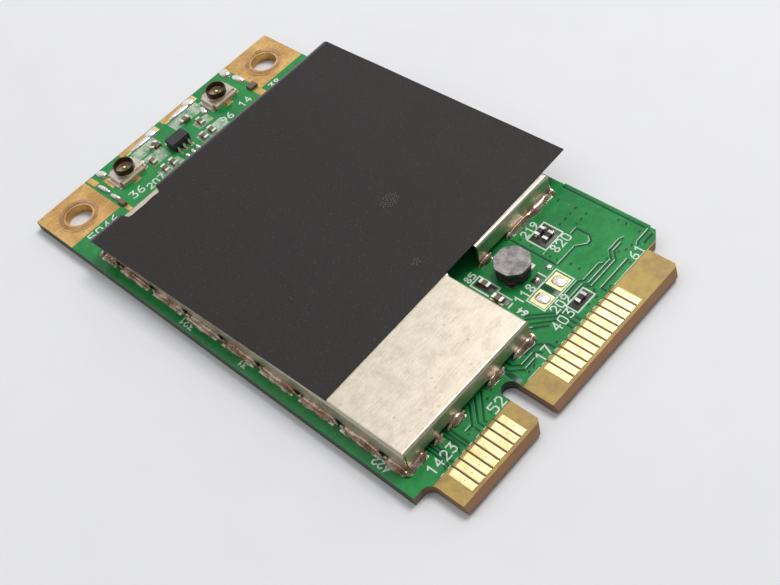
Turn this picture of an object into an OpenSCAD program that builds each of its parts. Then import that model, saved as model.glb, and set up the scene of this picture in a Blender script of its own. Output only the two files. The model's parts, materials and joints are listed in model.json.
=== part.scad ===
// Radio module on a full-size mini card, lying flat on its underside.
// Origin: centre of the card's underside. +X across the card, +Y from the edge
// connector to the antenna end, +Z up.
// Inside the modules, plan positions are measured from the card's left edge and
// from the tips of its tongues; on_card() moves them to the origin.

/* [Card] */
// Width of the card across the edge connector
card_w = 30; // [29:0.1:40]
// Length of the card from the tongue tips to the antenna end
card_l = 50.95; // [49:0.05:70]
// Thickness of the card over its outer layers
card_t = 1; // [0.8:0.05:1.6]
// Thickness of each outer layer, copper or solder mask
skin_t = 0.04; // [0.03:0.01:0.07]
// Length of the bevel on the tongue tips
bevel_l = 0.45; // [0.2:0.05:0.6]
// Depth of that bevel on each face
bevel_d = 0.3; // [0.1:0.01:0.35]

/* [Edge connector] */
// Left edge of the card to the narrow tongue
tongue_inset_left = 1.7; // [1.5:0.05:2.2]
// Wide tongue to the right edge of the card
tongue_inset_right = 2; // [1.5:0.05:3]
// Tongue tips to the left shoulder
shoulder_left = 3.7; // [3.4:0.05:4.2]
// Tongue tips to the right shoulder
shoulder_right = 3.2; // [2.8:0.05:3.6]
// Radius where the left shoulder meets the narrow tongue
shoulder_r = 0.8; // [0.3:0.05:1.2]
// Size of the slope at the right shoulder
shoulder_slope = [1, 0.65]; // [0.3:0.05:1.5]
// Left edge of the card to the key notch
key_x = 10.5; // [10.2:0.05:11.5]
// Width of the key notch
key_w = 1.5; // [1:0.05:2]
// Depth of the key notch
key_l = 4.6; // [4:0.05:4.9]
// Size of the cut corner on each tongue
corner_cut = 0.7; // [0.3:0.05:1]
// Pitch of the contacts
contact_pitch = 0.8; // [0.7:0.01:0.82]
// Width of a contact
contact_w = 0.64; // [0.4:0.01:0.68]
// Width of the neck that runs from a contact under the mask
contact_neck = 0.3; // [0.15:0.01:0.4]
// Tongue tips to the contacts
contact_start = 0.75; // [0.65:0.05:1]
// Tongue tips to the necks of the contacts
contact_end = 3.1; // [2.4:0.05:3.15]
// Tongue tips to the solder mask
mask_start = 3.3; // [3.1:0.05:3.5]
// Number of contacts on the narrow tongue
narrow_contacts = 8; // [4:1:8]
// Number of contacts on the wide tongue
wide_contacts = 12; // [6:1:18]
// Side of the narrow tongue to the middle of its first contact
narrow_first = 1.6; // [1:0.05:1.65]
// Side of the wide tongue to the middle of its first contact
wide_first = 2.5; // [0.8:0.05:2.6]

/* [Mounting lands] */
// Diameter of the mounting holes
hole_d = 2.6; // [2.2:0.05:3]
// Middle of a hole to the side and to the end of the card
hole_edge = 2.9; // [2.6:0.05:2.95]
// Wall of the plated bore
plating_t = 0.05; // [0.03:0.01:0.1]
// Width of a mounting land
land_w = 5.8; // [5:0.05:6]
// Length of a mounting land
land_l = 5.55; // [5:0.05:6]
// Diameter of the ring pressed into a land by the screw head
ring_d = 4.1; // [3.8:0.05:4.6]
// Height of that ring
ring_h = 0.03; // [0.01:0.01:0.05]

/* [Shield can] */
// Left edge of the card to the can
can_left = 1.3; // [1:0.05:1.6]
// Can to the right edge of the card
can_right = 1.5; // [1:0.05:2]
// Tongue tips to the can
can_front = 5.5; // [5.4:0.05:6]
// Can to the antenna end of the card
can_back = 8.95; // [8.2:0.05:9.5]
// Height of the can above the card
can_h = 2.25; // [2.1:0.05:3]
// Thickness of the sheet
can_t = 0.2; // [0.1:0.01:0.25]
// Outer radius of the folds round the top
can_r = 0.25; // [0.25:0.05:0.6]
// Width of the corner left out of the can
notch_w = 12.7; // [11:0.1:13.5]
// Length of the corner left out of the can
notch_l = 7.9; // [7.2:0.1:10]
// Opening left at the inner corner of that notch, across the card and along it
notch_relief = [3.4, 0.9]; // [0.5:0.1:4]
// Height of the feet of the can
foot_h = 0.55; // [0.1:0.05:0.8]
// Pitch of the feet along the sides
foot_pitch = 4; // [3:0.1:6]
// Gap between two feet
foot_gap = 0.7; // [0.4:0.05:1]
// Width of the seam at a corner
seam_w = 0.08; // [0.05:0.01:0.12]
// Reach of the foot pads outside the can
foot_pad = 0.45; // [0.35:0.05:0.5]
// Width and height of the solder against a foot
fillet_w = 0.3; // [0.15:0.05:0.35]

/* [Insulating film] */
// Width of the film
film_w = 30.1; // [28:0.1:34]
// Thickness of the film
film_t = 0.1; // [0.05:0.01:0.2]
// Angle by which the film is askew
film_skew = 1.2; // [0:0.1:2]
// Left side of the can to the film's front corner
film_side = 0.1; // [0:0.05:0.6]
// Radius of the film's curl behind the can
curl_r = 1; // [0.8:0.05:2]
// Angle of that curl
curl_angle = 42; // [20:1:60]
// Ragged cut in the curl: from the left side of the can, and its width
curl_cut = [3.1, 4.3]; // [2:0.1:6]

/* [Antenna sockets] */
// Distance between the two sockets
socket_pitch = 12; // [11.9:0.1:12.6]
// Middle of a socket to the antenna end of the card
socket_edge = 2.75; // [2.4:0.05:3]
// Side of the square socket base
socket_base = 2.6; // [2.4:0.05:2.7]
// Height of the socket base
socket_base_h = 0.4; // [0.3:0.05:0.6]
// Outer diameter of the socket collar
socket_d = 2; // [1.8:0.05:2.2]
// Height of the socket above the card
socket_h = 1.25; // [1.1:0.05:1.6]
// Thickness of the socket's sheet
socket_t = 0.14; // [0.1:0.01:0.2]
// Diameter of the centre pin
pin_d = 0.5; // [0.4:0.05:0.6]
// Height of the centre pin above the card
pin_h = 0.95; // [0.8:0.05:1.05]
// Reach of the solder tabs outside the base
tab_reach = 0.3; // [0.2:0.05:0.4]

/* [Small parts] */
// Side of the power coil
coil_w = 3; // [2.6:0.05:3.2]
// Height of the power coil
coil_h = 1.5; // [1.2:0.05:2]
// Cut at each corner of the power coil
coil_cut = 0.8; // [0.3:0.05:0.9]
// Thickness of the coil's flanges
coil_flange = 0.4; // [0.25:0.05:0.5]
// Length of a chip part
chip_l = 1; // [0.9:0.05:1.05]
// Width of a chip part
chip_w = 0.5; // [0.4:0.05:0.55]
// Height of a chip part
chip_h = 0.4; // [0.3:0.05:0.5]
// Length of the metal end of a chip part
chip_end = 0.25; // [0.15:0.01:0.3]
// Length of the switch chip
switch_l = 2; // [1.8:0.05:2.2]
// Width of the switch chip
switch_w = 1.25; // [1.1:0.05:1.4]
// Height of the switch chip above the card
switch_h = 0.95; // [0.8:0.05:1.1]
// Pitch of the switch chip's leads
lead_pitch = 0.65; // [0.6:0.01:0.7]

/* [Layout] */
// Power coil, from the inner corner of the can's notch and the can's front
coil_place = [4.35, 5.15]; // [0:0.05:10]
// Upper and lower resistor, from the same corner
resistor_places = [[8.75, 5.9], [8.75, 5.05]]; // [0:0.05:10]
// Resistor behind the wide tongue, from the notch's corner and the mask's edge
front_resistor_place = [5.15, 1.3]; // [0:0.05:10]
// Upright capacitors in the notch
notch_capacitor_places = [[2, 6.2], [1.45, 4.4]]; // [0:0.05:10]
// Gold-edged solder lands in the notch
big_land_places = [[3.5, 1.6], [5.6, 1.6]]; // [0:0.05:10]
// Size of a gold-edged solder land
big_land_size = [1.4, 1.5]; // [1:0.05:1.6]
// Round pads in the notch
round_pad_places = [[4.8, 3.05], [6.35, 3.05]]; // [0:0.05:10]
// Diameter of a round pad
round_pad_d = 0.55; // [0.4:0.05:0.6]
// Margin of the printed outlines round the small parts
legend_margin = 0.35; // [0.25:0.05:0.4]
// Switch chip, back and sideways from the middle of the antenna end
switch_place = [-0.5, 4.2]; // [-2:0.05:6]
// Upright capacitors behind the can, from the same point
end_capacitor_x = [-3.55, -2.55, 1.45, 2.45]; // [-4:0.05:4]
// Antenna end to those capacitors
end_capacitor_y = 5.75; // [5:0.05:6]
// Matching parts between the sockets, from the middle of the antenna end
matching_places = [[-2.2, 2.35], [1.9, 2.35], [-3.6, 3.9], [2.6, 3.9]]; // [-4:0.05:6]
// Turn of each matching part
matching_turns = [30, 0, 90, 90]; // [0:5:90]
// Tinned strips along the antenna end: middle, from the same point
strip_places = [[-2.4, 0.5], [2.6, 0.5]]; // [-4:0.05:4]
// Length of a tinned strip
strip_l = 4.2; // [3:0.1:4.6]
// Width of a tinned strip
strip_w = 0.85; // [0.5:0.05:0.9]

/* [Hidden chips] */
// Front left corner of the can to the flash memory
flash_place = [3.5, 1.5]; // [1:0.1:6]
// Size of the flash memory
flash_size = [6, 5, 0.8]; // [0.5:0.1:8]
// Front left corner of the can to the power manager
power_manager_place = [3.5, 7.2]; // [1:0.1:9]
// Size of the power manager
power_manager_size = [4, 4, 0.8]; // [0.5:0.1:6]
// Front left corner of the can to the processor
processor_place = [3, 12]; // [1:0.1:14]
// Size of the processor
processor_size = [8.5, 8.5, 1]; // [0.5:0.1:9]
// Right side of the can and inner side of its notch to the radio chip
radio_place = [12, 4]; // [3:0.1:12]
// Size of the radio chip
radio_size = [9, 9, 0.9]; // [0.5:0.1:9]
// Back of the can to the power amplifiers and the crystal
rear_row = 8; // [6:0.1:8]
// Left side of the can to the left amplifier, right side to the right one
power_amp_side = [4, 10.2]; // [3:0.1:11]
// Size of a power amplifier
power_amp_size = [4, 4, 0.9]; // [0.5:0.1:5]
// Left side of the can to the crystal
crystal_side = 9.6; // [9:0.1:10]
// Size of the crystal
crystal_size = [3.2, 2.5, 0.8]; // [0.5:0.1:3.5]
// Pitch of the capacitors under the can
hidden_pitch = 1.6; // [1.1:0.1:1.8]
// Back of the can to its two rows of capacitors
hidden_row = 9.6; // [9.2:0.1:9.8]
// Left side of the can to the left row, right side to the right row
hidden_row_side = [3.5, 11.2]; // [3:0.1:12]
// Front left corner of the can to the column of capacitors beside the power manager
hidden_column_place = [9.6, 7.6]; // [8:0.1:10]
// Pitch of that column
hidden_column_pitch = 1.1; // [0.8:0.1:1.2]

/* [Surface] */
// Height of the covered tracks above the mask
track_h = 0.03; // [0.01:0.01:0.06]
// Width of a covered track
track_w = 0.2; // [0.15:0.01:0.24]
// Diameter of the ring over a covered via
via_d = 0.42; // [0.3:0.02:0.5]
// Thickness of the printed legend
legend_h = 0.02; // [0.01:0.01:0.04]
// Width of a printed line
legend_w = 0.13; // [0.1:0.01:0.18]

/* [Hidden] */
$fn = 48;
eps = 0.01;

// Levels
core_bottom = skin_t;
core_top = card_t - skin_t;

// Edge connector
tongue_left = tongue_inset_left;
tongue_right = card_w - tongue_inset_right;
wide_left = key_x + key_w;
narrow_columns = [for (i = [0 : narrow_contacts - 1]) tongue_left + narrow_first + i * contact_pitch];
wide_columns = [for (i = [0 : wide_contacts - 1]) wide_left + wide_first + i * contact_pitch];
contact_cut = 0.15;

// Mounting holes
hole_y = card_l - hole_edge;
holes = [[hole_edge, hole_y], [card_w - hole_edge, hole_y]];
ring_w = 0.25;

// Shield can, in plan: outer corners, and the inner corner of its notch
can_x0 = can_left;
can_x1 = card_w - can_right;
can_y0 = can_front;
can_y1 = card_l - can_back;
notch_x = can_x1 - notch_w;
notch_y = can_y0 + notch_l;
can_top = card_t + can_h;
corner_foot = 2;

// Film
fold_y = can_y1 - can_r;
film_corner = [can_x0 + film_side, notch_y];

// Antenna sockets
socket_y = card_l - socket_edge;
socket_left = [card_w / 2 - socket_pitch / 2, socket_y];
socket_right = [card_w / 2 + socket_pitch / 2, socket_y];
socket_flange = 0.9;
signal_pad = 0.9;

// Small parts in the can's notch, from the notch's inner corner and the can's front
notch_origin = [notch_x, can_y0];
coil_at = notch_origin + coil_place;
coil_gap = 0.15;
resistors = concat(
    [for (place = resistor_places) [notch_origin + place, 0]],
    [[[notch_x, mask_start] + front_resistor_place, 0]]
);
// Small parts between the sockets are measured from the middle of the antenna end
function from_end(place) = [card_w / 2 + place.x, card_l - place.y];
switch_at = from_end(switch_place);
capacitors = concat(
    [for (place = notch_capacitor_places) [notch_origin + place, 90]],
    [for (x = end_capacitor_x) [from_end([x, end_capacitor_y]), 90]],
    [for (i = [0 : len(matching_places) - 1]) [from_end(matching_places[i]), matching_turns[i]]]
);
big_lands = [for (place = big_land_places) notch_origin + place];
round_pads = [for (place = round_pad_places) notch_origin + place];
strips = [for (place = strip_places) from_end(place)];
strip_solder_h = 0.12;
dome_h = 0.22;

// Chips under the can: front left corner in plan, and size
can_corner = [can_x0, can_y0];
processor_box = [can_corner + processor_place, processor_size];
radio_box = [[can_x1 - radio_place.x, notch_y + radio_place.y], radio_size];
power_amp_left_box = [[can_x0 + power_amp_side[0], can_y1 - rear_row], power_amp_size];
power_amp_right_box = [[can_x1 - power_amp_side[1], can_y1 - rear_row], power_amp_size];
flash_box = [can_corner + flash_place, flash_size];
power_manager_box = [can_corner + power_manager_place, power_manager_size];
crystal_box = [[can_x0 + crystal_side, can_y1 - rear_row], crystal_size];
hidden_chips = concat(
    [for (i = [0 : 5]) [[can_x0 + hidden_row_side[0] + i * hidden_pitch, can_y1 - hidden_row], 90]],
    [for (i = [0 : 4]) [[can_x1 - hidden_row_side[1] + i * hidden_pitch, can_y1 - hidden_row], 90]],
    [for (i = [0 : 3]) [can_corner + hidden_column_place + [0, i * hidden_column_pitch], 0]]
);

// ---- Helpers ----

// Moves plan positions from the card's corner to the origin at the card's centre
module on_card(z = 0) {
    translate([-card_w / 2, -card_l / 2, z]) children();
}

// A rectangle from one corner to the opposite one
module span(from, to) {
    translate(from) square(to - from);
}

// The outline of a rectangle, drawn with a printed line
module frame_2d(from, to) {
    difference() {
        span(from, to);
        span(from + [legend_w, legend_w], to - [legend_w, legend_w]);
    }
}

// A line of the given width through points, with square corners
module line_2d(points, w) {
    for (i = [0 : len(points) - 2]) {
        run = points[i + 1] - points[i];
        translate(points[i])
            rotate(atan2(run.y, run.x))
                translate([-w / 2, -w / 2])
                    square([norm(run) + w, w]);
    }
}

// A low dome of solder with a round base
module dome(d, h) {
    big_r = (d * d / 4 + h * h) / (2 * h);
    rotate_extrude()
        intersection() {
            translate([0, h - big_r]) circle(big_r, $fn = 96);
            square([d / 2, h]);
        }
}

// A low bar of solder, round across its width
module solder_bar(l, w, h) {
    big_r = (w * w / 4 + h * h) / (2 * h);
    translate([-l / 2, 0, 0])
        rotate([90, 0, 90])
            linear_extrude(l)
                intersection() {
                    translate([0, h - big_r]) circle(big_r, $fn = 96);
                    translate([-w / 2, 0]) square([w, h]);
                }
}

// ---- Card ----

// The cut that leaves the left shoulder, rounded where it meets the tongue
module left_cut_2d() {
    span([-eps, -eps], [tongue_left - shoulder_r, shoulder_left]);
    span([-eps, -eps], [tongue_left, shoulder_left - shoulder_r]);
    translate([tongue_left - shoulder_r, shoulder_left - shoulder_r]) circle(shoulder_r);
}

// The cut that leaves the right shoulder, with its sloping end
module right_cut_2d() {
    polygon([
        [tongue_right, -eps],
        [card_w + eps, -eps],
        [card_w + eps, shoulder_right + shoulder_slope.y],
        [card_w, shoulder_right + shoulder_slope.y],
        [card_w - shoulder_slope.x, shoulder_right],
        [tongue_right, shoulder_right]
    ]);
}

// The key notch between the tongues, with its round end
module key_notch_2d() {
    span([key_x, -eps], [wide_left, key_l - key_w / 2]);
    translate([key_x + key_w / 2, key_l - key_w / 2]) circle(d = key_w);
}

// The cut right-hand corner of a tongue that ends at x
module tongue_corner_2d(x) {
    polygon([[x - corner_cut, -eps], [x + eps, -eps], [x + eps, corner_cut], [x, corner_cut]]);
}

// The card in plan
module card_2d() {
    difference() {
        square([card_w, card_l]);
        left_cut_2d();
        right_cut_2d();
        key_notch_2d();
        tongue_corner_2d(key_x);
        tongue_corner_2d(tongue_right);
    }
}

// The bare land round the left hole, without its hole
module land_2d() {
    span([0, card_l - land_l], [land_w, card_l]);
}

// The card's right side as the mirror image of its left side
module other_side() {
    translate([card_w, 0]) mirror([1, 0]) children();
}

// The face of the card that solder mask covers, before its openings
module masked_2d() {
    difference() {
        intersection() {
            card_2d();
            span([0, mask_start], [card_w, card_l]);
        }
        land_2d();
        other_side() land_2d();
    }
}

module laminate() {
    side_view = [
        [0, core_bottom + bevel_d], [bevel_l, core_bottom], [card_l, core_bottom],
        [card_l, core_top], [bevel_l, core_top], [0, core_top - bevel_d]
    ];
    color("darkkhaki") on_card() difference() {
        intersection() {
            translate([0, 0, core_bottom]) linear_extrude(core_top - core_bottom) card_2d();
            rotate([90, 0, 90]) linear_extrude(card_w) polygon(side_view);
        }
        for (hole = holes) {
            translate([hole.x, hole.y, -eps]) cylinder(r = hole_d / 2 + plating_t, h = card_t + 2 * eps);
        }
    }
}

module solder_mask_top() {
    color("forestgreen") on_card(core_top) linear_extrude(skin_t) difference() {
        masked_2d();
        solder_pads_2d();
        shield_pads_2d();
    }
}

module solder_mask_bottom() {
    color("forestgreen") on_card() linear_extrude(skin_t) masked_2d();
}

// One contact, pointing away from the tongue's tip, with its neck
module contact_2d() {
    polygon([
        [-contact_w / 2, contact_start], [contact_w / 2, contact_start],
        [contact_w / 2, contact_end - contact_cut], [contact_neck / 2, contact_end],
        [contact_neck / 2, mask_start], [-contact_neck / 2, mask_start],
        [-contact_neck / 2, contact_end], [-contact_w / 2, contact_end - contact_cut]
    ]);
}

// A row of contacts at the given columns, on the face at height z
module contacts(columns, z) {
    color("gold") on_card(z) linear_extrude(skin_t)
        for (x = columns) {
            translate([x, 0]) contact_2d();
        }
}

module contacts_top_narrow() contacts(narrow_columns, core_top);
module contacts_top_wide() contacts(wide_columns, core_top);
module contacts_bottom_narrow() contacts(narrow_columns, 0);
module contacts_bottom_wide() contacts(wide_columns, 0);

// A mounting land on both faces, joined by its plated bore
module land() {
    hole = holes[0];
    difference() {
        union() {
            for (z = [0, core_top]) {
                translate([0, 0, z]) linear_extrude(skin_t) land_2d();
            }
            translate(hole) cylinder(r = hole_d / 2 + plating_t, h = card_t);
            translate([hole.x, hole.y, card_t]) linear_extrude(ring_h) difference() {
                circle(d = ring_d);
                circle(d = ring_d - 2 * ring_w);
            }
        }
        translate([hole.x, hole.y, -eps]) cylinder(d = hole_d, h = card_t + ring_h + 2 * eps);
    }
}

module land_left() {
    color("tan") on_card() land();
}

module land_right() {
    color("tan") on_card() translate([card_w, 0, 0]) mirror([1, 0, 0]) land();
}

// Ridges of the covered tracks, measured from the mask's edge and from the can
module tracks_2d() {
    front = mask_start;
    right = notch_x;
    slant_pitch = 0.24;
    slant_w = 0.75 * track_w;
    // Pairs beside the left shoulder
    for (x = [3.7, 4.3, 5.3, 6.1]) {
        line_2d([[x, front + 0.5], [x, can_y0 - 0.7]], track_w);
    }
    // Fan from the narrow tongue
    for (x = [7.3, 8.05, 8.8, 9.55]) {
        line_2d([[x, front + 0.35], [x + 0.6, can_y0 - 0.7]], track_w);
    }
    // Beside the end of the key notch
    line_2d([[wide_left + 1.3, front + 0.9], [wide_left + 1.3, key_l + 0.1]], track_w);
    // Slanted group beside the can's notch
    for (i = [0 : 4]) {
        x = right + 0.5 + i * slant_pitch;
        line_2d([[x, can_y0 + 1.35], [x + 1.2, can_y0]], slant_w);
    }
    // Long lines behind the wide tongue
    line_2d([[right + 7.3, front + 2.4], [right + 8.9, front + 2.4]], track_w);
    line_2d([[right + 7.5, front + 1.75], [right + 9.9, front + 1.75], [right + 10.6, front + 2.3],
        [right + 11.8, front + 2.3]], track_w);
    line_2d([[right + 7.5, front + 1.3], [right + 9.9, front + 1.3], [right + 10.8, front + 1.95],
        [right + 11.1, front + 1.95]], track_w);
    line_2d([[right + 7.4, front + 0.75], [right + 10.4, front + 0.75]], track_w);
    // Edge of the ground plane below the resistors
    line_2d([[right + 7.1, can_y0 + 2.7], [right + 9.2, can_y0 + 2.7], [right + 10.1, can_y0 + 1.95],
        [right + 10.5, can_y0 + 1.95], [right + 10.9, can_y0 + 2.4], [right + 10.9, can_y0 + 3.5]], track_w);
}

// Covered vias in the notch, along the right edge and behind the tongues
module vias_2d() {
    places = concat(
        [for (x = [10.5, 11.2, 11.9, 12.6], y = [3.95, 4.9]) notch_origin + [x, y]],
        [for (y = [0.9, 1.7]) notch_origin + [7.6, y]],
        [for (y = [-0.8, 0.5, 1.35]) [card_w - 0.75, can_y0 + y]],
        [[notch_x + 12.2, mask_start + 2.3], [6.8, mask_start + 0.75], [3, mask_start + 1.4]]
    );
    for (place = places) {
        translate(place) difference() {
            circle(d = via_d, $fn = 24);
            circle(d = via_d / 2, $fn = 24);
        }
    }
}

module tracks() {
    color("seagreen") on_card(card_t) linear_extrude(track_h) {
        tracks_2d();
        vias_2d();
    }
}

// A printed outline round places of the given half size, with the usual margin
module outline_2d(places, half) {
    low = [min([for (place = places) place.x]), min([for (place = places) place.y])];
    high = [max([for (place = places) place.x]), max([for (place = places) place.y])];
    margin = [legend_margin, legend_margin];
    frame_2d(low - half - margin, high + half + margin);
}

// Printed outlines round the resistors, an upright capacitor and the gold-edged lands
module legend() {
    lying = [chip_l, chip_w] / 2;
    upright = [chip_w, chip_l] / 2;
    color("white") on_card(card_t) linear_extrude(legend_h) {
        outline_2d([resistors[0][0], resistors[1][0]], lying);
        outline_2d([resistors[2][0]], lying);
        outline_2d([capacitors[0][0]], upright);
        outline_2d(big_lands, big_land_size / 2);
    }
}

// ---- Pads and solder ----

// The two pads of a chip part
module chip_pads_2d() {
    for (side = [-1, 1]) {
        translate([side * (chip_l - chip_end) / 2, 0]) square([chip_end + 0.25, chip_w + 0.1], center = true);
    }
}

// The pads that show outside the can
module solder_pads_2d() {
    for (part = concat(resistors, capacitors)) {
        translate(part[0]) rotate(part[1]) chip_pads_2d();
    }
    for (at = big_lands) {
        translate(at) square(big_land_size, center = true);
    }
    for (at = round_pads) {
        translate(at) circle(d = round_pad_d);
    }
    for (at = strips) {
        translate(at) square([strip_l, strip_w], center = true);
    }
    for (side = [-1, 1]) {
        translate(coil_at + [side * (coil_w - coil_cut) / 2, -coil_w / 2 + coil_cut])
            square([coil_cut, coil_cut], center = true);
        for (i = [-1 : 1]) {
            translate(switch_at + [i * lead_pitch, side * (switch_w / 2 + 0.35)])
                square([lead_pitch - 0.2, 0.6], center = true);
        }
    }
    for (at = [socket_left, socket_right]) {
        translate(at) socket_pads_2d();
    }
}

module solder_pads() {
    color("gold") on_card(core_top) linear_extrude(skin_t) solder_pads_2d();
}

module solder_joints() {
    color("silver") on_card(card_t) {
        for (at = big_lands) {
            translate(at) dome(min(big_land_size.x, big_land_size.y) - 0.2, dome_h);
        }
        for (at = round_pads) {
            translate(at) dome(round_pad_d, dome_h);
        }
        for (at = strips) {
            translate(at) solder_bar(strip_l, strip_w, strip_solder_h);
        }
    }
}

// ---- Shield can ----

// Feet along a wall of length l, as [start, length]; a corner foot stands at each end
function feet(l) =
    let (
        free = l - 2 * corner_foot - foot_gap,
        count = max(0, floor(free / foot_pitch)),
        pitch = count > 0 ? free / count : 0
    )
    concat(
        [[0, corner_foot]],
        [for (i = [0 : 1 : count - 1]) [corner_foot + foot_gap + i * pitch, pitch - foot_gap]],
        [[l - corner_foot, corner_foot]]
    );

// The uneven feet of the front wall
front_feet = [[0, corner_foot], [3.2, 0.6], [4.8, 1.5], [9.4, 1.6],
    [notch_x - can_x0 - corner_foot, corner_foot]];

// The uneven feet of the long wall of the notch
notch_feet = [[notch_relief.x, 1.2], [7.1, notch_w - 7.1]];

// The six walls, counter-clockwise: start in plan, direction, feet. The outside is on the right
walls = [
    [[can_x0, can_y0], 0, front_feet],
    [[notch_x, can_y0], 90, feet(notch_l)],
    [[notch_x, notch_y], 0, notch_feet],
    [[can_x1, notch_y], 90, feet(can_y1 - notch_y)],
    [[can_x1, can_y1], 180, feet(can_x1 - can_x0)],
    [[can_x0, can_y1], 270, feet(can_y1 - can_y0)]
];

// The tinned pads below the feet, with their reach outside the can
module shield_pads_2d() {
    for (wall = walls, foot = wall[2]) {
        translate(wall[0]) rotate(wall[1]) translate([foot[0], -foot_pad]) square([foot[1], foot_pad + can_t]);
    }
}

module shield_pads() {
    color("silver") on_card(core_top) linear_extrude(skin_t) shield_pads_2d();
}

// A wedge of solder against the outside of every foot
module shield_solder() {
    color("silver") on_card(card_t)
        for (wall = walls, foot = wall[2]) {
            translate(wall[0]) rotate(wall[1]) translate([foot[0], 0, 0])
                rotate([90, 0, 90]) linear_extrude(foot[1]) polygon([[0, 0], [0, fillet_w], [-fillet_w, 0]]);
        }
}

// A box's outline seen from one side, with its two top corners rounded
module round_top_2d(w, h, r) {
    translate([0, -eps]) square([w, h - r + eps]);
    translate([r, -eps]) square([w - 2 * r, h + eps]);
    for (x = [r, w - r]) {
        translate([x, h - r]) circle(r);
    }
}

// A block from one plan corner to the other with all its top edges rounded
module round_top_block(from, to, h, r) {
    size = to - from;
    translate(from) intersection() {
        translate([0, size.y, 0]) rotate([90, 0, 0]) linear_extrude(size.y) round_top_2d(size.x, h, r);
        rotate([90, 0, 90]) linear_extrude(size.x) round_top_2d(size.y, h, r);
    }
}

// The L-shaped block of the can, drawn in by inset on every side and at the top
module can_block(inset) {
    edge = [inset, inset];
    round_top_block([can_x0, notch_y] + edge, [can_x1, can_y1] - edge, can_h - inset, can_r - inset);
    round_top_block([can_x0, can_y0] + edge, [notch_x, can_y1] - edge, can_h - inset, can_r - inset);
}

// The spaces between neighbouring feet, cut through the walls
module foot_spaces() {
    for (wall = walls, i = [0 : len(wall[2]) - 2]) {
        start = wall[2][i][0] + wall[2][i][1];
        translate(wall[0]) rotate(wall[1])
            translate([start, -eps, -2 * eps])
                cube([wall[2][i + 1][0] - start, can_t + 2 * eps, foot_h + 2 * eps]);
    }
}

// The open seam beside each outer corner
module corner_seams() {
    for (i = [0, 3, 4, 5]) {
        translate(walls[i][0]) rotate(walls[i][1])
            translate([can_t, -eps, -2 * eps])
                cube([seam_w, can_t + 2 * eps, can_h - can_r]);
    }
}

// Where the sheet is left out, because the notch's inner corner can't be folded
module corner_opening() {
    translate([notch_x, notch_y - eps, -eps])
        cube([notch_relief.x, notch_relief.y + eps, can_h + 2 * eps]);
}

module shield_can() {
    color("antiquewhite") on_card(card_t) difference() {
        can_block(0);
        translate([0, 0, -eps]) can_block(can_t);
        corner_opening();
        foot_spaces();
        corner_seams();
        // Trims the walls to the card's face
        translate([0, 0, -1]) cube([card_w, card_l, 1]);
    }
}

// ---- Insulating film ----

// The flat part of the film: a skewed sheet that ends where the curl starts
module film_sheet_2d() {
    cut_from = can_x0 + curl_cut[0];
    cut_to = cut_from + curl_cut[1];
    difference() {
        translate(film_corner) rotate(film_skew) square([film_w, card_l]);
        span([-card_w, fold_y], [2 * card_w, 2 * card_l]);
        polygon([[cut_from, fold_y + 1], [cut_from, fold_y], [cut_from + 0.3, fold_y - 0.42],
            [cut_to - 0.5, fold_y - 0.52], [cut_to, fold_y], [cut_to, fold_y + 1]]);
    }
}

// The curl behind the fold, from one x to another
module film_curl(from, to) {
    translate([from, fold_y, can_top - curl_r]) rotate([90, 0, 90]) linear_extrude(to - from)
        intersection() {
            difference() {
                circle(curl_r + film_t, $fn = 96);
                circle(curl_r, $fn = 96);
            }
            polygon([[0, 0], [0, 2 * curl_r], 3 * curl_r * [sin(curl_angle), cos(curl_angle)]]);
        }
}

module insulating_film() {
    // The curl ends just inside the film's two slanting sides and the cut
    side_at_fold = film_corner.x - (fold_y - film_corner.y) * tan(film_skew);
    fold_left = side_at_fold + 2 * eps;
    fold_right = side_at_fold + film_w / cos(film_skew) - 2 * eps;
    cut_from = can_x0 + curl_cut[0];
    color("dimgray") on_card() {
        translate([0, 0, can_top]) linear_extrude(film_t) film_sheet_2d();
        film_curl(fold_left, cut_from - 2 * eps);
        film_curl(cut_from + curl_cut[1] + 2 * eps, fold_right);
    }
}

// ---- Antenna sockets ----

// Pads below one socket: a ground pad at each side and the signal pad towards the can
module socket_pads_2d() {
    reach = socket_base / 2 + tab_reach + 0.15;
    for (side = [-1, 1]) {
        translate([side * (reach - 0.35), 0]) square([0.7, 2.2], center = true);
    }
    translate([0, -reach + 0.35]) square([signal_pad, 0.7], center = true);
}

// The sheet collar with its flange, two bent legs and their feet
module receptacle_shell() {
    half = socket_base / 2;
    bead = socket_t / 2;
    // Collar with a rolled rim
    rotate_extrude() {
        translate([socket_d / 2 - socket_t, socket_base_h])
            square([socket_t, socket_h - socket_base_h - bead]);
        translate([socket_d / 2 - bead, socket_h - bead]) circle(bead);
    }
    // Flange on the base
    translate([0, 0, socket_base_h]) linear_extrude(socket_t) difference() {
        square([socket_base + 2 * socket_t, 2 * socket_flange], center = true);
        circle(d = socket_d - 2 * socket_t);
    }
    for (side = [-1, 1]) {
        // Leg beside the base
        translate([side * (half + socket_t / 2), 0, (socket_base_h + socket_t) / 2])
            cube([socket_t, 2 * socket_flange, socket_base_h + socket_t], center = true);
        // Foot on the pad
        translate([side * (half + (socket_t + tab_reach) / 2), 0, socket_t / 2])
            cube([socket_t + tab_reach, 2 * socket_flange, socket_t], center = true);
    }
}

// The moulded base, bored for the pin and slotted for its tail
module receptacle_base() {
    difference() {
        linear_extrude(socket_base_h) difference() {
            square(socket_base, center = true);
            for (side = [-1, 1]) {
                translate([side * socket_base / 2, socket_base / 2])
                    rotate(45) square(0.5, center = true);
            }
        }
        translate([0, 0, -eps]) cylinder(d = pin_d, h = socket_base_h + 2 * eps);
        translate([-pin_d / 2, -socket_base, -eps]) cube([pin_d, socket_base, socket_t + eps]);
    }
}

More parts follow.
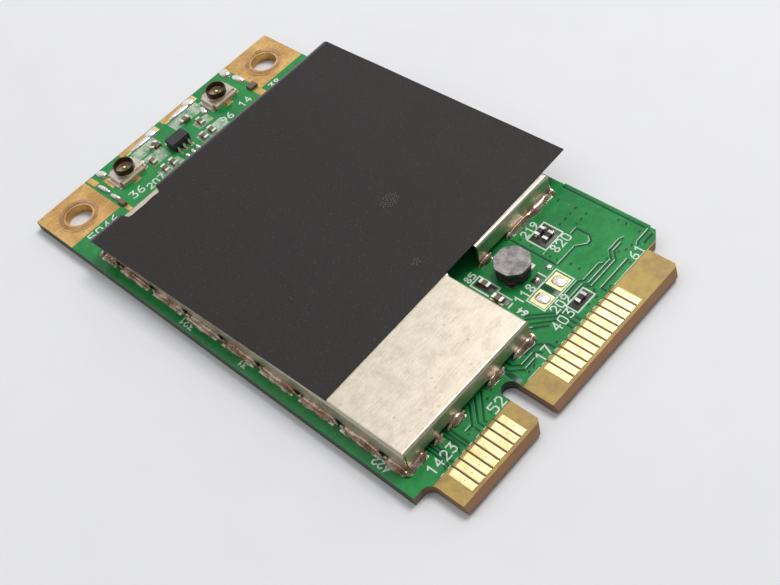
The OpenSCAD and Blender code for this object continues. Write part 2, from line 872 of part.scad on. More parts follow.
// The centre pin with its soldered tail
module receptacle_pin() {
    cylinder(d = pin_d, h = pin_h - pin_d / 2);
    translate([0, 0, pin_h - pin_d / 2]) sphere(d = pin_d);
    translate([-pin_d / 2, -socket_base / 2 - tab_reach, 0])
        cube([pin_d, socket_base / 2 + tab_reach, socket_t]);
}

module receptacle_shell_left() {
    color("silver") on_card(card_t) translate(socket_left) receptacle_shell();
}

module receptacle_base_left() {
    color("wheat") on_card(card_t) translate(socket_left) receptacle_base();
}

module receptacle_pin_left() {
    color("gold") on_card(card_t) translate(socket_left) receptacle_pin();
}

module receptacle_shell_right() {
    color("silver") on_card(card_t) translate(socket_right) receptacle_shell();
}

module receptacle_base_right() {
    color("wheat") on_card(card_t) translate(socket_right) receptacle_base();
}

module receptacle_pin_right() {
    color("gold") on_card(card_t) translate(socket_right) receptacle_pin();
}

// ---- Switch chip ----

module rf_switch_body() {
    color("black") on_card(card_t) translate(concat(switch_at, [0.1]))
        translate([-switch_l / 2, -switch_w / 2, 0]) cube([switch_l, switch_w, switch_h - 0.1]);
}

// Six gull-wing leads: shank, bend and foot
module rf_switch_leads() {
    lead_w = 0.25;
    lead_t = 0.12;
    foot_l = 0.3;
    shank_l = 0.2;
    rise = switch_h / 2;
    side_view = [
        [0, rise], [shank_l, rise], [shank_l, lead_t], [shank_l + foot_l, lead_t],
        [shank_l + foot_l, 0], [shank_l - lead_t, 0], [shank_l - lead_t, rise - lead_t], [0, rise - lead_t]
    ];
    color("silver") on_card(card_t) translate(switch_at)
        for (turn = [0, 180], i = [-1 : 1]) {
            rotate(turn) translate([i * lead_pitch - lead_w / 2, switch_w / 2, 0])
                rotate([90, 0, 90]) linear_extrude(lead_w) polygon(side_view);
        }
}

// ---- Power coil ----

// The coil's square outline with cut corners
module coil_2d() {
    half = coil_w / 2;
    flat = half - coil_cut;
    polygon([
        [-flat, -half], [flat, -half], [half, -flat], [half, flat],
        [flat, half], [-flat, half], [-half, flat], [-half, -flat]
    ]);
}

coil_post_d = coil_w * 0.45;
terminal_t = 0.1;

module inductor_core() {
    color("gray") on_card(card_t + terminal_t) translate(coil_at) {
        linear_extrude(coil_flange) coil_2d();
        cylinder(d = coil_post_d, h = coil_h - terminal_t);
        translate([0, 0, coil_h - terminal_t - coil_flange]) linear_extrude(coil_flange) coil_2d();
    }
}

// The potted winding between the flanges
module inductor_winding() {
    color("black") on_card(card_t + terminal_t + coil_flange) translate(coil_at) difference() {
        cylinder(d = coil_w - 2 * coil_gap, h = coil_h - terminal_t - 2 * coil_flange);
        translate([0, 0, -eps]) cylinder(d = coil_post_d, h = coil_h);
    }
}

module inductor_terminals() {
    color("silver") on_card(card_t) translate(coil_at)
        for (side = [-1, 1]) {
            translate([side * (coil_w - coil_cut) / 2, -coil_w / 2 + coil_cut, terminal_t / 2])
                cube([coil_cut, coil_cut, terminal_t], center = true);
        }
}

// ---- Chip parts ----

// The ceramic block between the metal ends of each part
module chip_bodies(parts) {
    for (part = parts) {
        translate(part[0]) rotate(part[1])
            translate([-chip_l / 2 + chip_end, -chip_w / 2 + 0.02, 0.02])
                cube([chip_l - 2 * chip_end, chip_w - 0.04, chip_h - 0.04]);
    }
}

// The two metal ends of each part
module chip_ends(parts) {
    for (part = parts, side = [-1, 1]) {
        translate(part[0]) rotate(part[1])
            translate([side * (chip_l - chip_end) / 2, 0, chip_h / 2])
                cube([chip_end, chip_w, chip_h], center = true);
    }
}

module resistor_bodies() {
    color("black") on_card(card_t) chip_bodies(resistors);
}

module resistor_ends() {
    color("silver") on_card(card_t) chip_ends(resistors);
}

module capacitor_bodies() {
    color("sienna") on_card(card_t) chip_bodies(capacitors);
}

module capacitor_ends() {
    color("silver") on_card(card_t) chip_ends(capacitors);
}

module hidden_capacitor_bodies() {
    color("sienna") on_card(card_t) chip_bodies(hidden_chips);
}

module hidden_capacitor_ends() {
    color("silver") on_card(card_t) chip_ends(hidden_chips);
}

// ---- Chips under the can ----

// A flat package given as place and size, with its first-pin dimple
module package(box) {
    size = box[1];
    on_card(card_t) translate(box[0]) difference() {
        cube(size);
        translate([0.6, 0.6, size.z - 0.05]) cylinder(d = 0.5, h = 0.1);
    }
}

module processor() color("dimgray") package(processor_box);
module radio_chip() color("dimgray") package(radio_box);
module power_amp_left() color("dimgray") package(power_amp_left_box);
module power_amp_right() color("dimgray") package(power_amp_right_box);
module flash_memory() color("dimgray") package(flash_box);
module power_manager() color("dimgray") package(power_manager_box);
module crystal() color("silver") package(crystal_box);

laminate();
solder_mask_top();
solder_mask_bottom();
contacts_top_narrow();
contacts_top_wide();
contacts_bottom_narrow();
contacts_bottom_wide();
land_left();
land_right();
tracks();
legend();
solder_pads();
solder_joints();
shield_pads();
shield_solder();
shield_can();
insulating_film();
receptacle_shell_left();
receptacle_base_left();
receptacle_pin_left();
receptacle_shell_right();
receptacle_base_right();
receptacle_pin_right();
rf_switch_body();
rf_switch_leads();
inductor_core();
inductor_winding();
inductor_terminals();
resistor_bodies();
resistor_ends();
capacitor_bodies();
capacitor_ends();
processor();
radio_chip();
power_amp_left();
power_amp_right();
flash_memory();
power_manager();
crystal();
hidden_capacitor_bodies();
hidden_capacitor_ends();
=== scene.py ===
"""Looks of a radio module on a full-size mini card.

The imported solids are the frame. This script dresses them, replaces the ones that need finer
forms, and adds a plain studio. All lengths are in metres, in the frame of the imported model.
"""

from __future__ import annotations

import json
import logging
import math
from dataclasses import dataclass
from enum import Enum
from functools import cache
from typing import ClassVar, Iterable, Sequence

import bmesh
import bpy
from mathutils import Matrix, Vector, noise

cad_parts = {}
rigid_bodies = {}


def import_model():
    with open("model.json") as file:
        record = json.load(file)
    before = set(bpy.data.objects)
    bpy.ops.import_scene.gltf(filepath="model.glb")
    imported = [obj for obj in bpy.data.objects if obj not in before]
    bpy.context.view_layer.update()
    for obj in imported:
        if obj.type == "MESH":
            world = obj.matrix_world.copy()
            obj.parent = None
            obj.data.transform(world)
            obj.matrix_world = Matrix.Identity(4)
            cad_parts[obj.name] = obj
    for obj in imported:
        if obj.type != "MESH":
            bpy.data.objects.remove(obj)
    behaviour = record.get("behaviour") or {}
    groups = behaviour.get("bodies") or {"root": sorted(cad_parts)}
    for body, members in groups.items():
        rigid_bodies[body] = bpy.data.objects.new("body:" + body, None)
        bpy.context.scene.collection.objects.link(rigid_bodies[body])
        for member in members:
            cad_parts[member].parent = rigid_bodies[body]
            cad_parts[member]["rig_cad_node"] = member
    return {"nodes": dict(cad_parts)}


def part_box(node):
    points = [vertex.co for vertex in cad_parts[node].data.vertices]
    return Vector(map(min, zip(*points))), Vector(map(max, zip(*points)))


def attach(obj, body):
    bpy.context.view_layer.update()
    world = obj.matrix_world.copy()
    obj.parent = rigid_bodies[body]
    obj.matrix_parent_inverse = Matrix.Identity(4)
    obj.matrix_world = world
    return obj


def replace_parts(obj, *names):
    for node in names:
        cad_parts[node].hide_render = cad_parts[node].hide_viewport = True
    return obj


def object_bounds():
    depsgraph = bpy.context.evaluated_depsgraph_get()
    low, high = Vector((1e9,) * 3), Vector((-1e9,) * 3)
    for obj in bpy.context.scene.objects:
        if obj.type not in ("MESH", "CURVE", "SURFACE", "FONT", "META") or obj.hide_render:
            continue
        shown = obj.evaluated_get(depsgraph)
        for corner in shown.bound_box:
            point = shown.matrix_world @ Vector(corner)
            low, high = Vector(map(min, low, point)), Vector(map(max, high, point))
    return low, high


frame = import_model()
CAD_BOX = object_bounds()

LOG = logging.getLogger("radio_module")
MM = 0.001
ROOT = "root"
Colour = tuple[float, float, float]
Point = tuple[float, float]
Area = tuple[float, float, float, float]
Node = bpy.types.Node
Socket = bpy.types.NodeSocket
Look = tuple[Socket, Socket]


# ---------------------------------------------------------------------------
# Shader helpers
# ---------------------------------------------------------------------------


class Graph:
    """Builds the nodes of one material or one node group."""

    def __init__(self, tree: bpy.types.NodeTree) -> None:
        """Starts on an empty tree."""
        self.tree = tree
        self.tree.nodes.clear()

    @classmethod
    def surface(cls, material: bpy.types.Material) -> tuple[Graph, Node]:
        """Starts a material with one shader.

        Args:
            material: The material to fill.

        Returns:
            Its graph and its shader.
        """
        material.use_nodes = True
        graph = cls(material.node_tree)
        shader = graph.node("ShaderNodeBsdfPrincipled")
        graph.feed(graph.node("ShaderNodeOutputMaterial").inputs["Surface"], shader.outputs[0])
        return graph, shader

    def node(self, kind: str, **values: object) -> Node:
        """Adds a node and sets its fields.

        Args:
            kind: The node's type, such as "ShaderNodeMix".
            values: Attribute names and their values.

        Returns:
            The new node.
        """
        made = self.tree.nodes.new(kind)
        for name, value in values.items():
            setattr(made, name, value)
        return made

    def feed(self, socket: Socket, value: object) -> None:
        """Links an output to a socket, or sets the socket's own value.

        Args:
            socket: The input to fill.
            value: An output socket, a number, or a colour of three numbers.
        """
        if isinstance(value, Socket):
            self.tree.links.new(value, socket)
        elif isinstance(value, tuple) and len(value) == 3 and socket.type == "RGBA":
            socket.default_value = (*value, 1.0)
        else:
            socket.default_value = value

    def math(self, operation: str, *inputs: object) -> Socket:
        """Adds a Math node.

        Args:
            operation: The node's operation, such as "MULTIPLY".
            inputs: Numbers or sockets, in order.

        Returns:
            The node's output.
        """
        made = self.node("ShaderNodeMath", operation=operation)
        for socket, value in zip(made.inputs, inputs):
            self.feed(socket, value)
        return made.outputs[0]

    def mix(self, factor: object, low: object, high: object) -> Socket:
        """Mixes two colours.

        Args:
            factor: The share of the second colour.
            low: The first colour or socket.
            high: The second colour or socket.

        Returns:
            The mixed colour.
        """
        made = self.node("ShaderNodeMix", data_type="RGBA")
        self.feed(made.inputs[0], factor)
        self.feed(made.inputs[6], low)
        self.feed(made.inputs[7], high)
        return made.outputs[2]

    def ramp(self, factor: object, low: object, high: object) -> Socket:
        """Maps a value from a range to 0..1 with soft ends.

        Args:
            factor: The value.
            low: The value that becomes 0.
            high: The value that becomes 1.

        Returns:
            The mapped value.
        """
        made = self.node("ShaderNodeMapRange", interpolation_type="SMOOTHSTEP", clamp=True)
        for socket, value in zip(made.inputs, (factor, low, high, 0.0, 1.0)):
            self.feed(socket, value)
        return made.outputs[0]

    def place(self) -> Socket:
        """Returns the position in the frame's metres, the same for every piece."""
        return self.node("ShaderNodeTexCoord").outputs["Object"]

    def normal(self) -> Socket:
        """Returns the direction that the surface faces."""
        return self.node("ShaderNodeNewGeometry").outputs["Normal"]

    def split(self, vector: Socket) -> bpy.types.NodeOutputs:
        """Returns the X, Y and Z of a vector.

        Args:
            vector: The vector.

        Returns:
            The three values, as sockets.
        """
        made = self.node("ShaderNodeSeparateXYZ")
        self.feed(made.inputs[0], vector)
        return made.outputs

    def noise(self, scale: object, detail: float, rough: float, at: Socket | None = None) -> Socket:
        """Adds a noise texture.

        Args:
            scale: Cycles per metre.
            detail: Octaves of detail.
            rough: Weight of the fine octaves.
            at: The coordinate; the place in the frame where none is given.

        Returns:
            The noise value, 0..1.
        """
        made = self.node("ShaderNodeTexNoise")
        self.feed(made.inputs["Vector"], at if at is not None else self.place())
        self.feed(made.inputs["Scale"], scale)
        made.inputs["Detail"].default_value = detail
        made.inputs["Roughness"].default_value = rough
        return made.outputs["Fac"]

    def use(self, group: bpy.types.NodeTree, **inputs: object) -> bpy.types.NodeOutputs:
        """Places a node group and fills its inputs by name.

        Args:
            group: The shared effect.
            inputs: Input names and their values.

        Returns:
            The group's outputs.
        """
        made = self.node("ShaderNodeGroup", node_tree=group)
        for name, value in inputs.items():
            self.feed(made.inputs[name], value)
        return made.outputs


class Effects:
    """Shader effects that several finishes share, each built once."""

    @staticmethod
    def _start(
        name: str, outputs: Sequence[str], **inputs: float | Colour
    ) -> tuple[Graph, bpy.types.NodeOutputs, bpy.types.NodeInputs]:
        """Starts a node group.

        Args:
            name: The group's name.
            outputs: Names of the outputs. "Color" is a colour, and the others are numbers.
            inputs: Name and default of each input, a number or a colour.

        Returns:
            The group's graph, the values that come in and the sockets that lead out.
        """
        tree = bpy.data.node_groups.new(name, "ShaderNodeTree")
        graph = Graph(tree)
        for label, default in inputs.items():
            colour = isinstance(default, tuple)
            kind = "NodeSocketColor" if colour else "NodeSocketFloat"
            socket = tree.interface.new_socket(label, in_out="INPUT", socket_type=kind)
            socket.default_value = (*default, 1.0) if colour else default
        for label in outputs:
            kind = "NodeSocketColor" if label == "Color" else "NodeSocketFloat"
            tree.interface.new_socket(label, in_out="OUTPUT", socket_type=kind)
        return graph, graph.node("NodeGroupInput").outputs, graph.node("NodeGroupOutput").inputs

    @staticmethod
    @cache
    def mottle() -> bpy.types.NodeTree:
        """Returns cloudy variation between two colours, coarse and fine together.

        Returns:
            The node group.
        """
        graph, given, out = Effects._start(
            "mottle", ("Color", "Mask"), Scale=500.0, Low=(0.1, 0.1, 0.1), High=(0.2, 0.2, 0.2)
        )
        coarse = graph.noise(given["Scale"], 4.0, 0.6)
        fine = graph.noise(graph.math("MULTIPLY", given["Scale"], 6.3), 3.0, 0.6)
        both = graph.math(
            "ADD", graph.math("MULTIPLY", coarse, 0.65), graph.math("MULTIPLY", fine, 0.35)
        )
        mask = graph.ramp(both, 0.36, 0.64)
        graph.feed(out["Mask"], mask)
        graph.feed(out["Color"], graph.mix(mask, given["Low"], given["High"]))
        return graph.tree

    @staticmethod
    @cache
    def specks() -> bpy.types.NodeTree:
        """Returns a mask of scattered round specks whose number follows Amount.

        Returns:
            The node group.
        """
        graph, given, out = Effects._start("specks", ("Mask",), Scale=3000.0, Amount=0.2)
        cells = graph.node("ShaderNodeTexVoronoi", feature="F1")
        graph.feed(cells.inputs["Vector"], graph.place())
        graph.feed(cells.inputs["Scale"], given["Scale"])
        near = graph.math("SUBTRACT", 1.0, graph.ramp(cells.outputs["Distance"], 0.1, 0.34))
        pick = graph.node("ShaderNodeSeparateColor")
        graph.feed(pick.inputs[0], cells.outputs["Color"])
        kept = graph.math("LESS_THAN", pick.outputs[0], given["Amount"])
        graph.feed(out["Mask"], graph.math("MULTIPLY", near, kept))
        return graph.tree

    @staticmethod
    @cache
    def grain() -> bpy.types.NodeTree:
        """Returns a height of two noises, for the bump of cast, moulded and coated faces.

        Returns:
            The node group.
        """
        graph, given, out = Effects._start("grain", ("Height",), Scale=4000.0, Waviness=1.0)
        fine = graph.noise(given["Scale"], 4.0, 0.65)
        coarse = graph.noise(graph.math("MULTIPLY", given["Scale"], 0.17), 2.0, 0.5)
        waves = graph.math("MULTIPLY", coarse, given["Waviness"])
        graph.feed(out["Height"], graph.math("ADD", fine, waves))
        return graph.tree

    @staticmethod
    @cache
    def facing() -> bpy.types.NodeTree:
        """Returns a mask that is 1 on level faces and 0 on upright ones.

        Returns:
            The node group.
        """
        graph, given, out = Effects._start("facing", ("Mask",), From=0.3, To=0.9)
        level = graph.math("ABSOLUTE", graph.split(graph.normal())[2])
        graph.feed(out["Mask"], graph.ramp(level, given["From"], given["To"]))
        return graph.tree

    @staticmethod
    @cache
    def brushing() -> bpy.types.NodeTree:
        """Returns fine streaks nearly along X, for rolled sheet and handling marks.

        Returns:
            The node group.
        """
        graph, given, out = Effects._start("brushing", ("Mask",), Scale=900.0)
        stretch = graph.node("ShaderNodeMapping")
        graph.feed(stretch.inputs["Vector"], graph.place())
        stretch.inputs["Rotation"].default_value = (0.0, 0.0, 0.4)
        stretch.inputs["Scale"].default_value = (1.0, 14.0, 14.0)
        streaks = graph.noise(given["Scale"], 3.0, 0.6, stretch.outputs[0])
        graph.feed(out["Mask"], graph.ramp(streaks, 0.42, 0.66))
        return graph.tree


@dataclass(frozen=True)
class Finish:
    """A surface: two colours that cloud into each other, gloss, metal and grain."""

    name: str
    slot: str
    low: Colour
    high: Colour
    cloud: float = 600.0
    roughness: tuple[float, float] = (0.4, 0.5)
    metallic: float = 0.0
    grain: float = 4000.0
    waviness: float = 1.0
    bump: float = 0.1
    depth: float = 0.02 * MM
    specular: float = 0.5

    def colour(self, graph: Graph) -> Look:
        """Builds the colour; finishes with marks of their own extend this.

        Args:
            graph: The material's graph.

        Returns:
            The colour and the mask of its clouds.
        """
        clouds = graph.use(Effects.mottle(), Scale=self.cloud, Low=self.low, High=self.high)
        return clouds["Color"], clouds["Mask"]

    def material(self) -> bpy.types.Material:
        """Returns the material, and builds it the first time.

        Returns:
            The material.
        """
        kept = bpy.data.materials.get(self.name)
        if kept is not None:
            return kept
        made = bpy.data.materials.new(self.name)
        graph, shader = Graph.surface(made)
        shader.inputs["Metallic"].default_value = self.metallic
        shader.inputs["Specular IOR Level"].default_value = self.specular
        colour, mask = self.colour(graph)
        graph.feed(shader.inputs["Base Color"], colour)
        low, high = self.roughness
        graph.feed(shader.inputs["Roughness"], graph.math("MULTIPLY_ADD", mask, high - low, low))
        bump = graph.node("ShaderNodeBump")
        bump.inputs["Strength"].default_value = self.bump
        bump.inputs["Distance"].default_value = self.depth
        height = graph.use(Effects.grain(), Scale=self.grain, Waviness=self.waviness)
        graph.feed(bump.inputs["Height"], height["Height"])
        graph.feed(shader.inputs["Normal"], bump.outputs[0])
        return made


@dataclass(frozen=True)
class Specked(Finish):
    """A finish with scattered specks of dirt, glass or tarnish."""

    speck: Colour = (0.1, 0.05, 0.02)
    speck_scale: float = 3000.0
    speck_amount: float = 0.15
    speck_share: float = 0.6

    def colour(self, graph: Graph) -> Look:
        """Lays the specks over the clouds.

        Args:
            graph: The material's graph.

        Returns:
            The colour and the mask of its clouds.
        """
        base, mask = super().colour(graph)
        specks = graph.use(Effects.specks(), Scale=self.speck_scale, Amount=self.speck_amount)
        share = graph.math("MULTIPLY", specks["Mask"], self.speck_share)
        return graph.mix(share, base, self.speck), mask


@dataclass(frozen=True)
class Streaked(Specked):
    """A rolled metal with fine streaks and a few specks."""

    streak: Colour = (0.5, 0.45, 0.4)
    streak_scale: float = 900.0
    streak_share: float = 0.4

    def colour(self, graph: Graph) -> Look:
        """Lays the streaks over the specks and clouds.

        Args:
            graph: The material's graph.

        Returns:
            The colour and the mask of its clouds.
        """
        base, mask = super().colour(graph)
        streaks = graph.use(Effects.brushing(), Scale=self.streak_scale)
        share = graph.math("MULTIPLY", streaks["Mask"], self.streak_share)
        return graph.mix(share, base, self.streak), mask


@dataclass(frozen=True)
class Laminate(Finish):
    """Woven glass in resin, with darker cut edges along the card than round the tongues."""

    edge: Colour = (0.03, 0.045, 0.02)
    tongue_edge: Colour = (0.25, 0.125, 0.065)
    tongue_y: float = -22.2 * MM
    tongue_fade: float = 1.0 * MM
    weave_pitch: float = 0.35 * MM
    weave_share: float = 0.2

    def colour(self, graph: Graph) -> Look:
        """Adds the weave on the faces and the cut edges.

        Args:
            graph: The material's graph.

        Returns:
            The colour and the mask of its clouds.
        """
        base, mask = super().colour(graph)
        axes = graph.split(graph.place())
        turn = 2 * math.pi / self.weave_pitch
        warp = graph.math("SINE", graph.math("MULTIPLY", axes[0], turn))
        weft = graph.math("SINE", graph.math("MULTIPLY", axes[1], turn))
        weave = graph.ramp(graph.math("MULTIPLY", warp, weft), -1.0, 1.0)
        woven = graph.mix(graph.math("MULTIPLY", weave, self.weave_share), base, self.high)
        along = graph.ramp(axes[1], self.tongue_y, self.tongue_y + self.tongue_fade)
        edge = graph.mix(along, self.tongue_edge, self.edge)
        level = graph.use(Effects.facing(), From=0.80, To=0.995)
        return graph.mix(level["Mask"], edge, woven), mask


@dataclass(frozen=True)
class Collared(Specked):
    """A plated sheet whose upper part, above a level, is painted dark bronze as shade with a brown
    reflection.
    """

    collar_shade: Colour = (0.07, 0.038, 0.02)
    level: float = 1.6 * MM
    fade: float = 0.12 * MM

    def colour(self, graph: Graph) -> Look:
        """Paints shade with a brown reflection over what stands above the level.

        Args:
            graph: The material's graph.

        Returns:
            The colour and the mask of its clouds.
        """
        base, mask = super().colour(graph)
        # Painted shade: everything above the level turns dark bronze, standing in for shade and a
        # brown reflection.
        above = graph.ramp(graph.split(graph.place())[2], self.level, self.level + self.fade)
        return graph.mix(above, base, self.collar_shade), mask


@dataclass(frozen=True)
class Curled(Specked):
    """A film with painted light on the faces where it curls down behind the can."""

    pale: Colour = (0.17, 0.15, 0.158)

    def colour(self, graph: Graph) -> Look:
        """Paints light on the faces that slope towards the card's antenna end, where the curl would
        catch the lamp.

        Args:
            graph: The material's graph.

        Returns:
            The colour and the mask of its clouds.
        """
        base, mask = super().colour(graph)
        # Painted light: faces whose normal points towards the antenna end get the pale colour.
        slope = graph.ramp(graph.split(graph.normal())[1], 0.12, 0.6)
        return graph.mix(slope, base, self.pale), mask


class Palette(Enum):
    """Every finish of the module."""

    LAMINATE = Laminate(
        "glass_laminate", "laminate", (0.30, 0.16, 0.045), (0.52, 0.36, 0.080), 230.0,
        (0.42, 0.58), bump=0.15,
    )
    LACQUER = Specked(
        "green_lacquer", "solder_mask", (0.010, 0.20, 0.046), (0.020, 0.28, 0.062), 300.0,
        (0.16, 0.24), grain=2200.0, bump=0.12, depth=0.02 * MM, specular=0.32,
        speck=(0.10, 0.33, 0.05), speck_scale=1500.0, speck_amount=0.14, speck_share=0.4,
    )
    BARE_LACQUER = Finish(
        "lacquer_on_laminate", "solder_mask", (0.002, 0.050, 0.022), (0.004, 0.075, 0.032), 600.0,
        (0.16, 0.24), bump=0.1, specular=0.32,
    )
    GOLD = Streaked(
        "gold_plating", "gold", (0.80, 0.60, 0.26), (0.90, 0.72, 0.38), 1100.0,
        (0.26, 0.36), metallic=1.0, bump=0.12, speck=(0.45, 0.25, 0.1), speck_amount=0.06,
        streak=(0.98, 0.85, 0.55), streak_share=0.35,
    )
    LAND = Streaked(
        "bare_copper_land", "copper_land", (0.50, 0.27, 0.08), (0.72, 0.46, 0.17), 480.0,
        (0.34, 0.5), metallic=0.85, bump=0.3, grain=3000.0, speck=(0.32, 0.14, 0.05),
        speck_amount=0.14, speck_scale=2200.0, streak=(0.8, 0.58, 0.3), streak_share=0.2,
    )
    SOLDER = Specked(
        "bright_solder", "solder", (0.66, 0.62, 0.56), (0.90, 0.89, 0.86), 1800.0,
        (0.14, 0.3), metallic=1.0, bump=0.35, grain=3500.0, depth=0.03 * MM,
        speck=(0.25, 0.16, 0.1), speck_amount=0.14, speck_scale=2600.0,
    )
    FOOT_SOLDER = Specked(
        "flux_stained_solder", "solder", (0.30, 0.17, 0.11), (0.78, 0.66, 0.56), 900.0,
        (0.14, 0.3), metallic=0.85, bump=0.5, grain=3000.0, depth=0.04 * MM,
        speck=(0.10, 0.05, 0.03), speck_amount=0.2, speck_scale=2600.0,
    )
    STAIN = Specked(
        "flux_stain", "solder_mask", (0.020, 0.014, 0.008), (0.07, 0.05, 0.03), 1700.0,
        (0.25, 0.45), bump=0.3, speck=(0.16, 0.13, 0.09), speck_amount=0.2,
    )
    PALE_LACQUER = Specked(
        "lacquer_on_tin", "solder_mask", (0.10, 0.27, 0.13), (0.52, 0.60, 0.47), 1300.0,
        (0.25, 0.4), bump=0.4, speck=(0.22, 0.17, 0.11), speck_amount=0.25, speck_scale=2300.0,
        speck_share=0.5,
    )
    TINNED = Streaked(
        "tinned_sheet", "shield", (0.54, 0.47, 0.375), (0.62, 0.55, 0.45), 900.0,
        (0.36, 0.46), metallic=1.0, bump=0.35, grain=6000.0, waviness=0.6,
        speck=(0.34, 0.22, 0.14), speck_scale=1900.0, speck_amount=0.12, speck_share=0.5,
        streak=(0.76, 0.70, 0.62), streak_share=0.4, streak_scale=900.0,
    )
    FILM = Curled(
        "black_film", "film", (0.0085, 0.0045, 0.0045), (0.017, 0.0105, 0.0105), 150.0,
        (0.52, 0.64), grain=3600.0, waviness=0.8, bump=0.9, depth=0.05 * MM, specular=0.36,
        speck=(0.075, 0.06, 0.058), speck_scale=3000.0, speck_amount=0.25, speck_share=0.35,
    )
    SOCKET_SHEET = Collared(
        "plated_socket_sheet", "socket_sheet", (0.52, 0.45, 0.37), (0.72, 0.66, 0.58), 1500.0,
        (0.25, 0.42), metallic=0.9, bump=0.3, speck=(0.35, 0.2, 0.1), speck_amount=0.2,
    )
    SOCKET_BASE = Specked(
        "socket_moulding", "socket_base", (0.45, 0.36, 0.26), (0.62, 0.52, 0.41), 1200.0,
        (0.45, 0.6), bump=0.3, speck=(0.2, 0.1, 0.05), speck_amount=0.15,
    )
    RESIN = Specked(
        "moulded_resin", "chip_resin", (0.012, 0.012, 0.012), (0.03, 0.028, 0.027), 1400.0,
        (0.45, 0.6), bump=0.4, grain=5000.0, speck=(0.09, 0.085, 0.08), speck_amount=0.2,
        speck_scale=5000.0,
    )
    FERRITE = Specked(
        "ferrite_face", "ferrite", (0.16, 0.15, 0.145), (0.46, 0.42, 0.40), 1300.0,
        (0.5, 0.7), bump=1.0, grain=3000.0, depth=0.1 * MM, speck=(0.05, 0.045, 0.045),
        speck_amount=0.22, speck_scale=1500.0, speck_share=0.7,
    )
    FERRITE_SIDE = Specked(
        "ferrite_side", "ferrite", (0.006, 0.006, 0.006), (0.018, 0.017, 0.016), 1500.0,
        (0.3, 0.5), bump=0.4, speck=(0.10, 0.07, 0.06), speck_amount=0.12, speck_scale=2200.0,
    )
    # Painted highlight: pale green lines on the lacquer where its slopes would catch the lamp.
    LACQUER_HIGHLIGHT = Finish(
        "lacquer_painted_highlight", "solder_mask", (0.30, 0.55, 0.36), (0.62, 0.80, 0.64), 1500.0,
        (0.15, 0.3), bump=0.2,
    )
    TARNISH = Specked(
        "tarnished_copper", "copper_land", (0.34, 0.17, 0.08), (0.56, 0.33, 0.18), 700.0,
        (0.3, 0.45), metallic=0.8, bump=0.3, speck=(0.22, 0.11, 0.05), speck_amount=0.15,
    )
    # Painted shade: darkens the laminate between the gold contacts, where their shade falls.
    SHADE = Finish(
        "laminate_painted_shade", "laminate", (0.09, 0.04, 0.012), (0.17, 0.09, 0.03), 900.0,
        (0.5, 0.6), bump=0.1,
    )
    SCUFF = Specked(
        "film_scuff", "film", (0.05, 0.045, 0.045), (0.22, 0.20, 0.20), 2500.0,
        (0.3, 0.5), bump=0.5,
    )
    RESISTOR = Specked(
        "resistor_glaze", "resistor", (0.015, 0.015, 0.015), (0.035, 0.03, 0.028), 1800.0,
        (0.2, 0.35), bump=0.3, speck=(0.1, 0.09, 0.08), speck_amount=0.1,
    )
    CAPACITOR = Specked(
        "capacitor_ceramic", "capacitor", (0.13, 0.075, 0.04), (0.22, 0.14, 0.08), 1500.0,
        (0.4, 0.6), bump=0.35, speck=(0.3, 0.22, 0.15), speck_amount=0.15,
    )
    CRYSTAL = Streaked(
        "drawn_case", "crystal_case", (0.62, 0.60, 0.55), (0.75, 0.73, 0.68), 900.0,
        (0.25, 0.4), metallic=1.0,
    )
    PRINT = Specked(
        "white_print", "legend", (0.60, 0.66, 0.58), (0.80, 0.84, 0.78), 2200.0,
        (0.5, 0.65), bump=0.4, grain=6000.0, speck=(0.25, 0.45, 0.25), speck_amount=0.25,
        speck_scale=6000.0, speck_share=0.5,
    )

    def dress(self, piece: bpy.types.Object) -> None:
        """Gives a piece this finish.

        Args:
            piece: The object to dress.
        """
        made = self.value.material()
        if piece.data.materials:
            for index in range(len(piece.data.materials)):
                piece.data.materials[index] = made
        else:
            piece.data.materials.append(made)


# ---------------------------------------------------------------------------
# Meshes
# ---------------------------------------------------------------------------


def rectangle(left: float, front: float, right: float, back: float) -> list[Point]:
    """Returns the corners of a rectangle, counter-clockwise."""
    return [(left, front), (right, front), (right, back), (left, back)]


def circle(x: float, y: float, radius: float, steps: int) -> list[Point]:
    """Returns points round a circle, counter-clockwise."""
    turns = [2 * math.pi * k / steps for k in range(steps)]
    return [(x + radius * math.cos(a), y + radius * math.sin(a)) for a in turns]


def add(name: str, data: bpy.types.ID) -> bpy.types.Object:
    """Puts an object in the scene.

    Args:
        name: The object's name.
        data: Its mesh, light or camera.

    Returns:
        The object.
    """
    made = bpy.data.objects.new(name, data)
    bpy.context.scene.collection.objects.link(made)
    return made


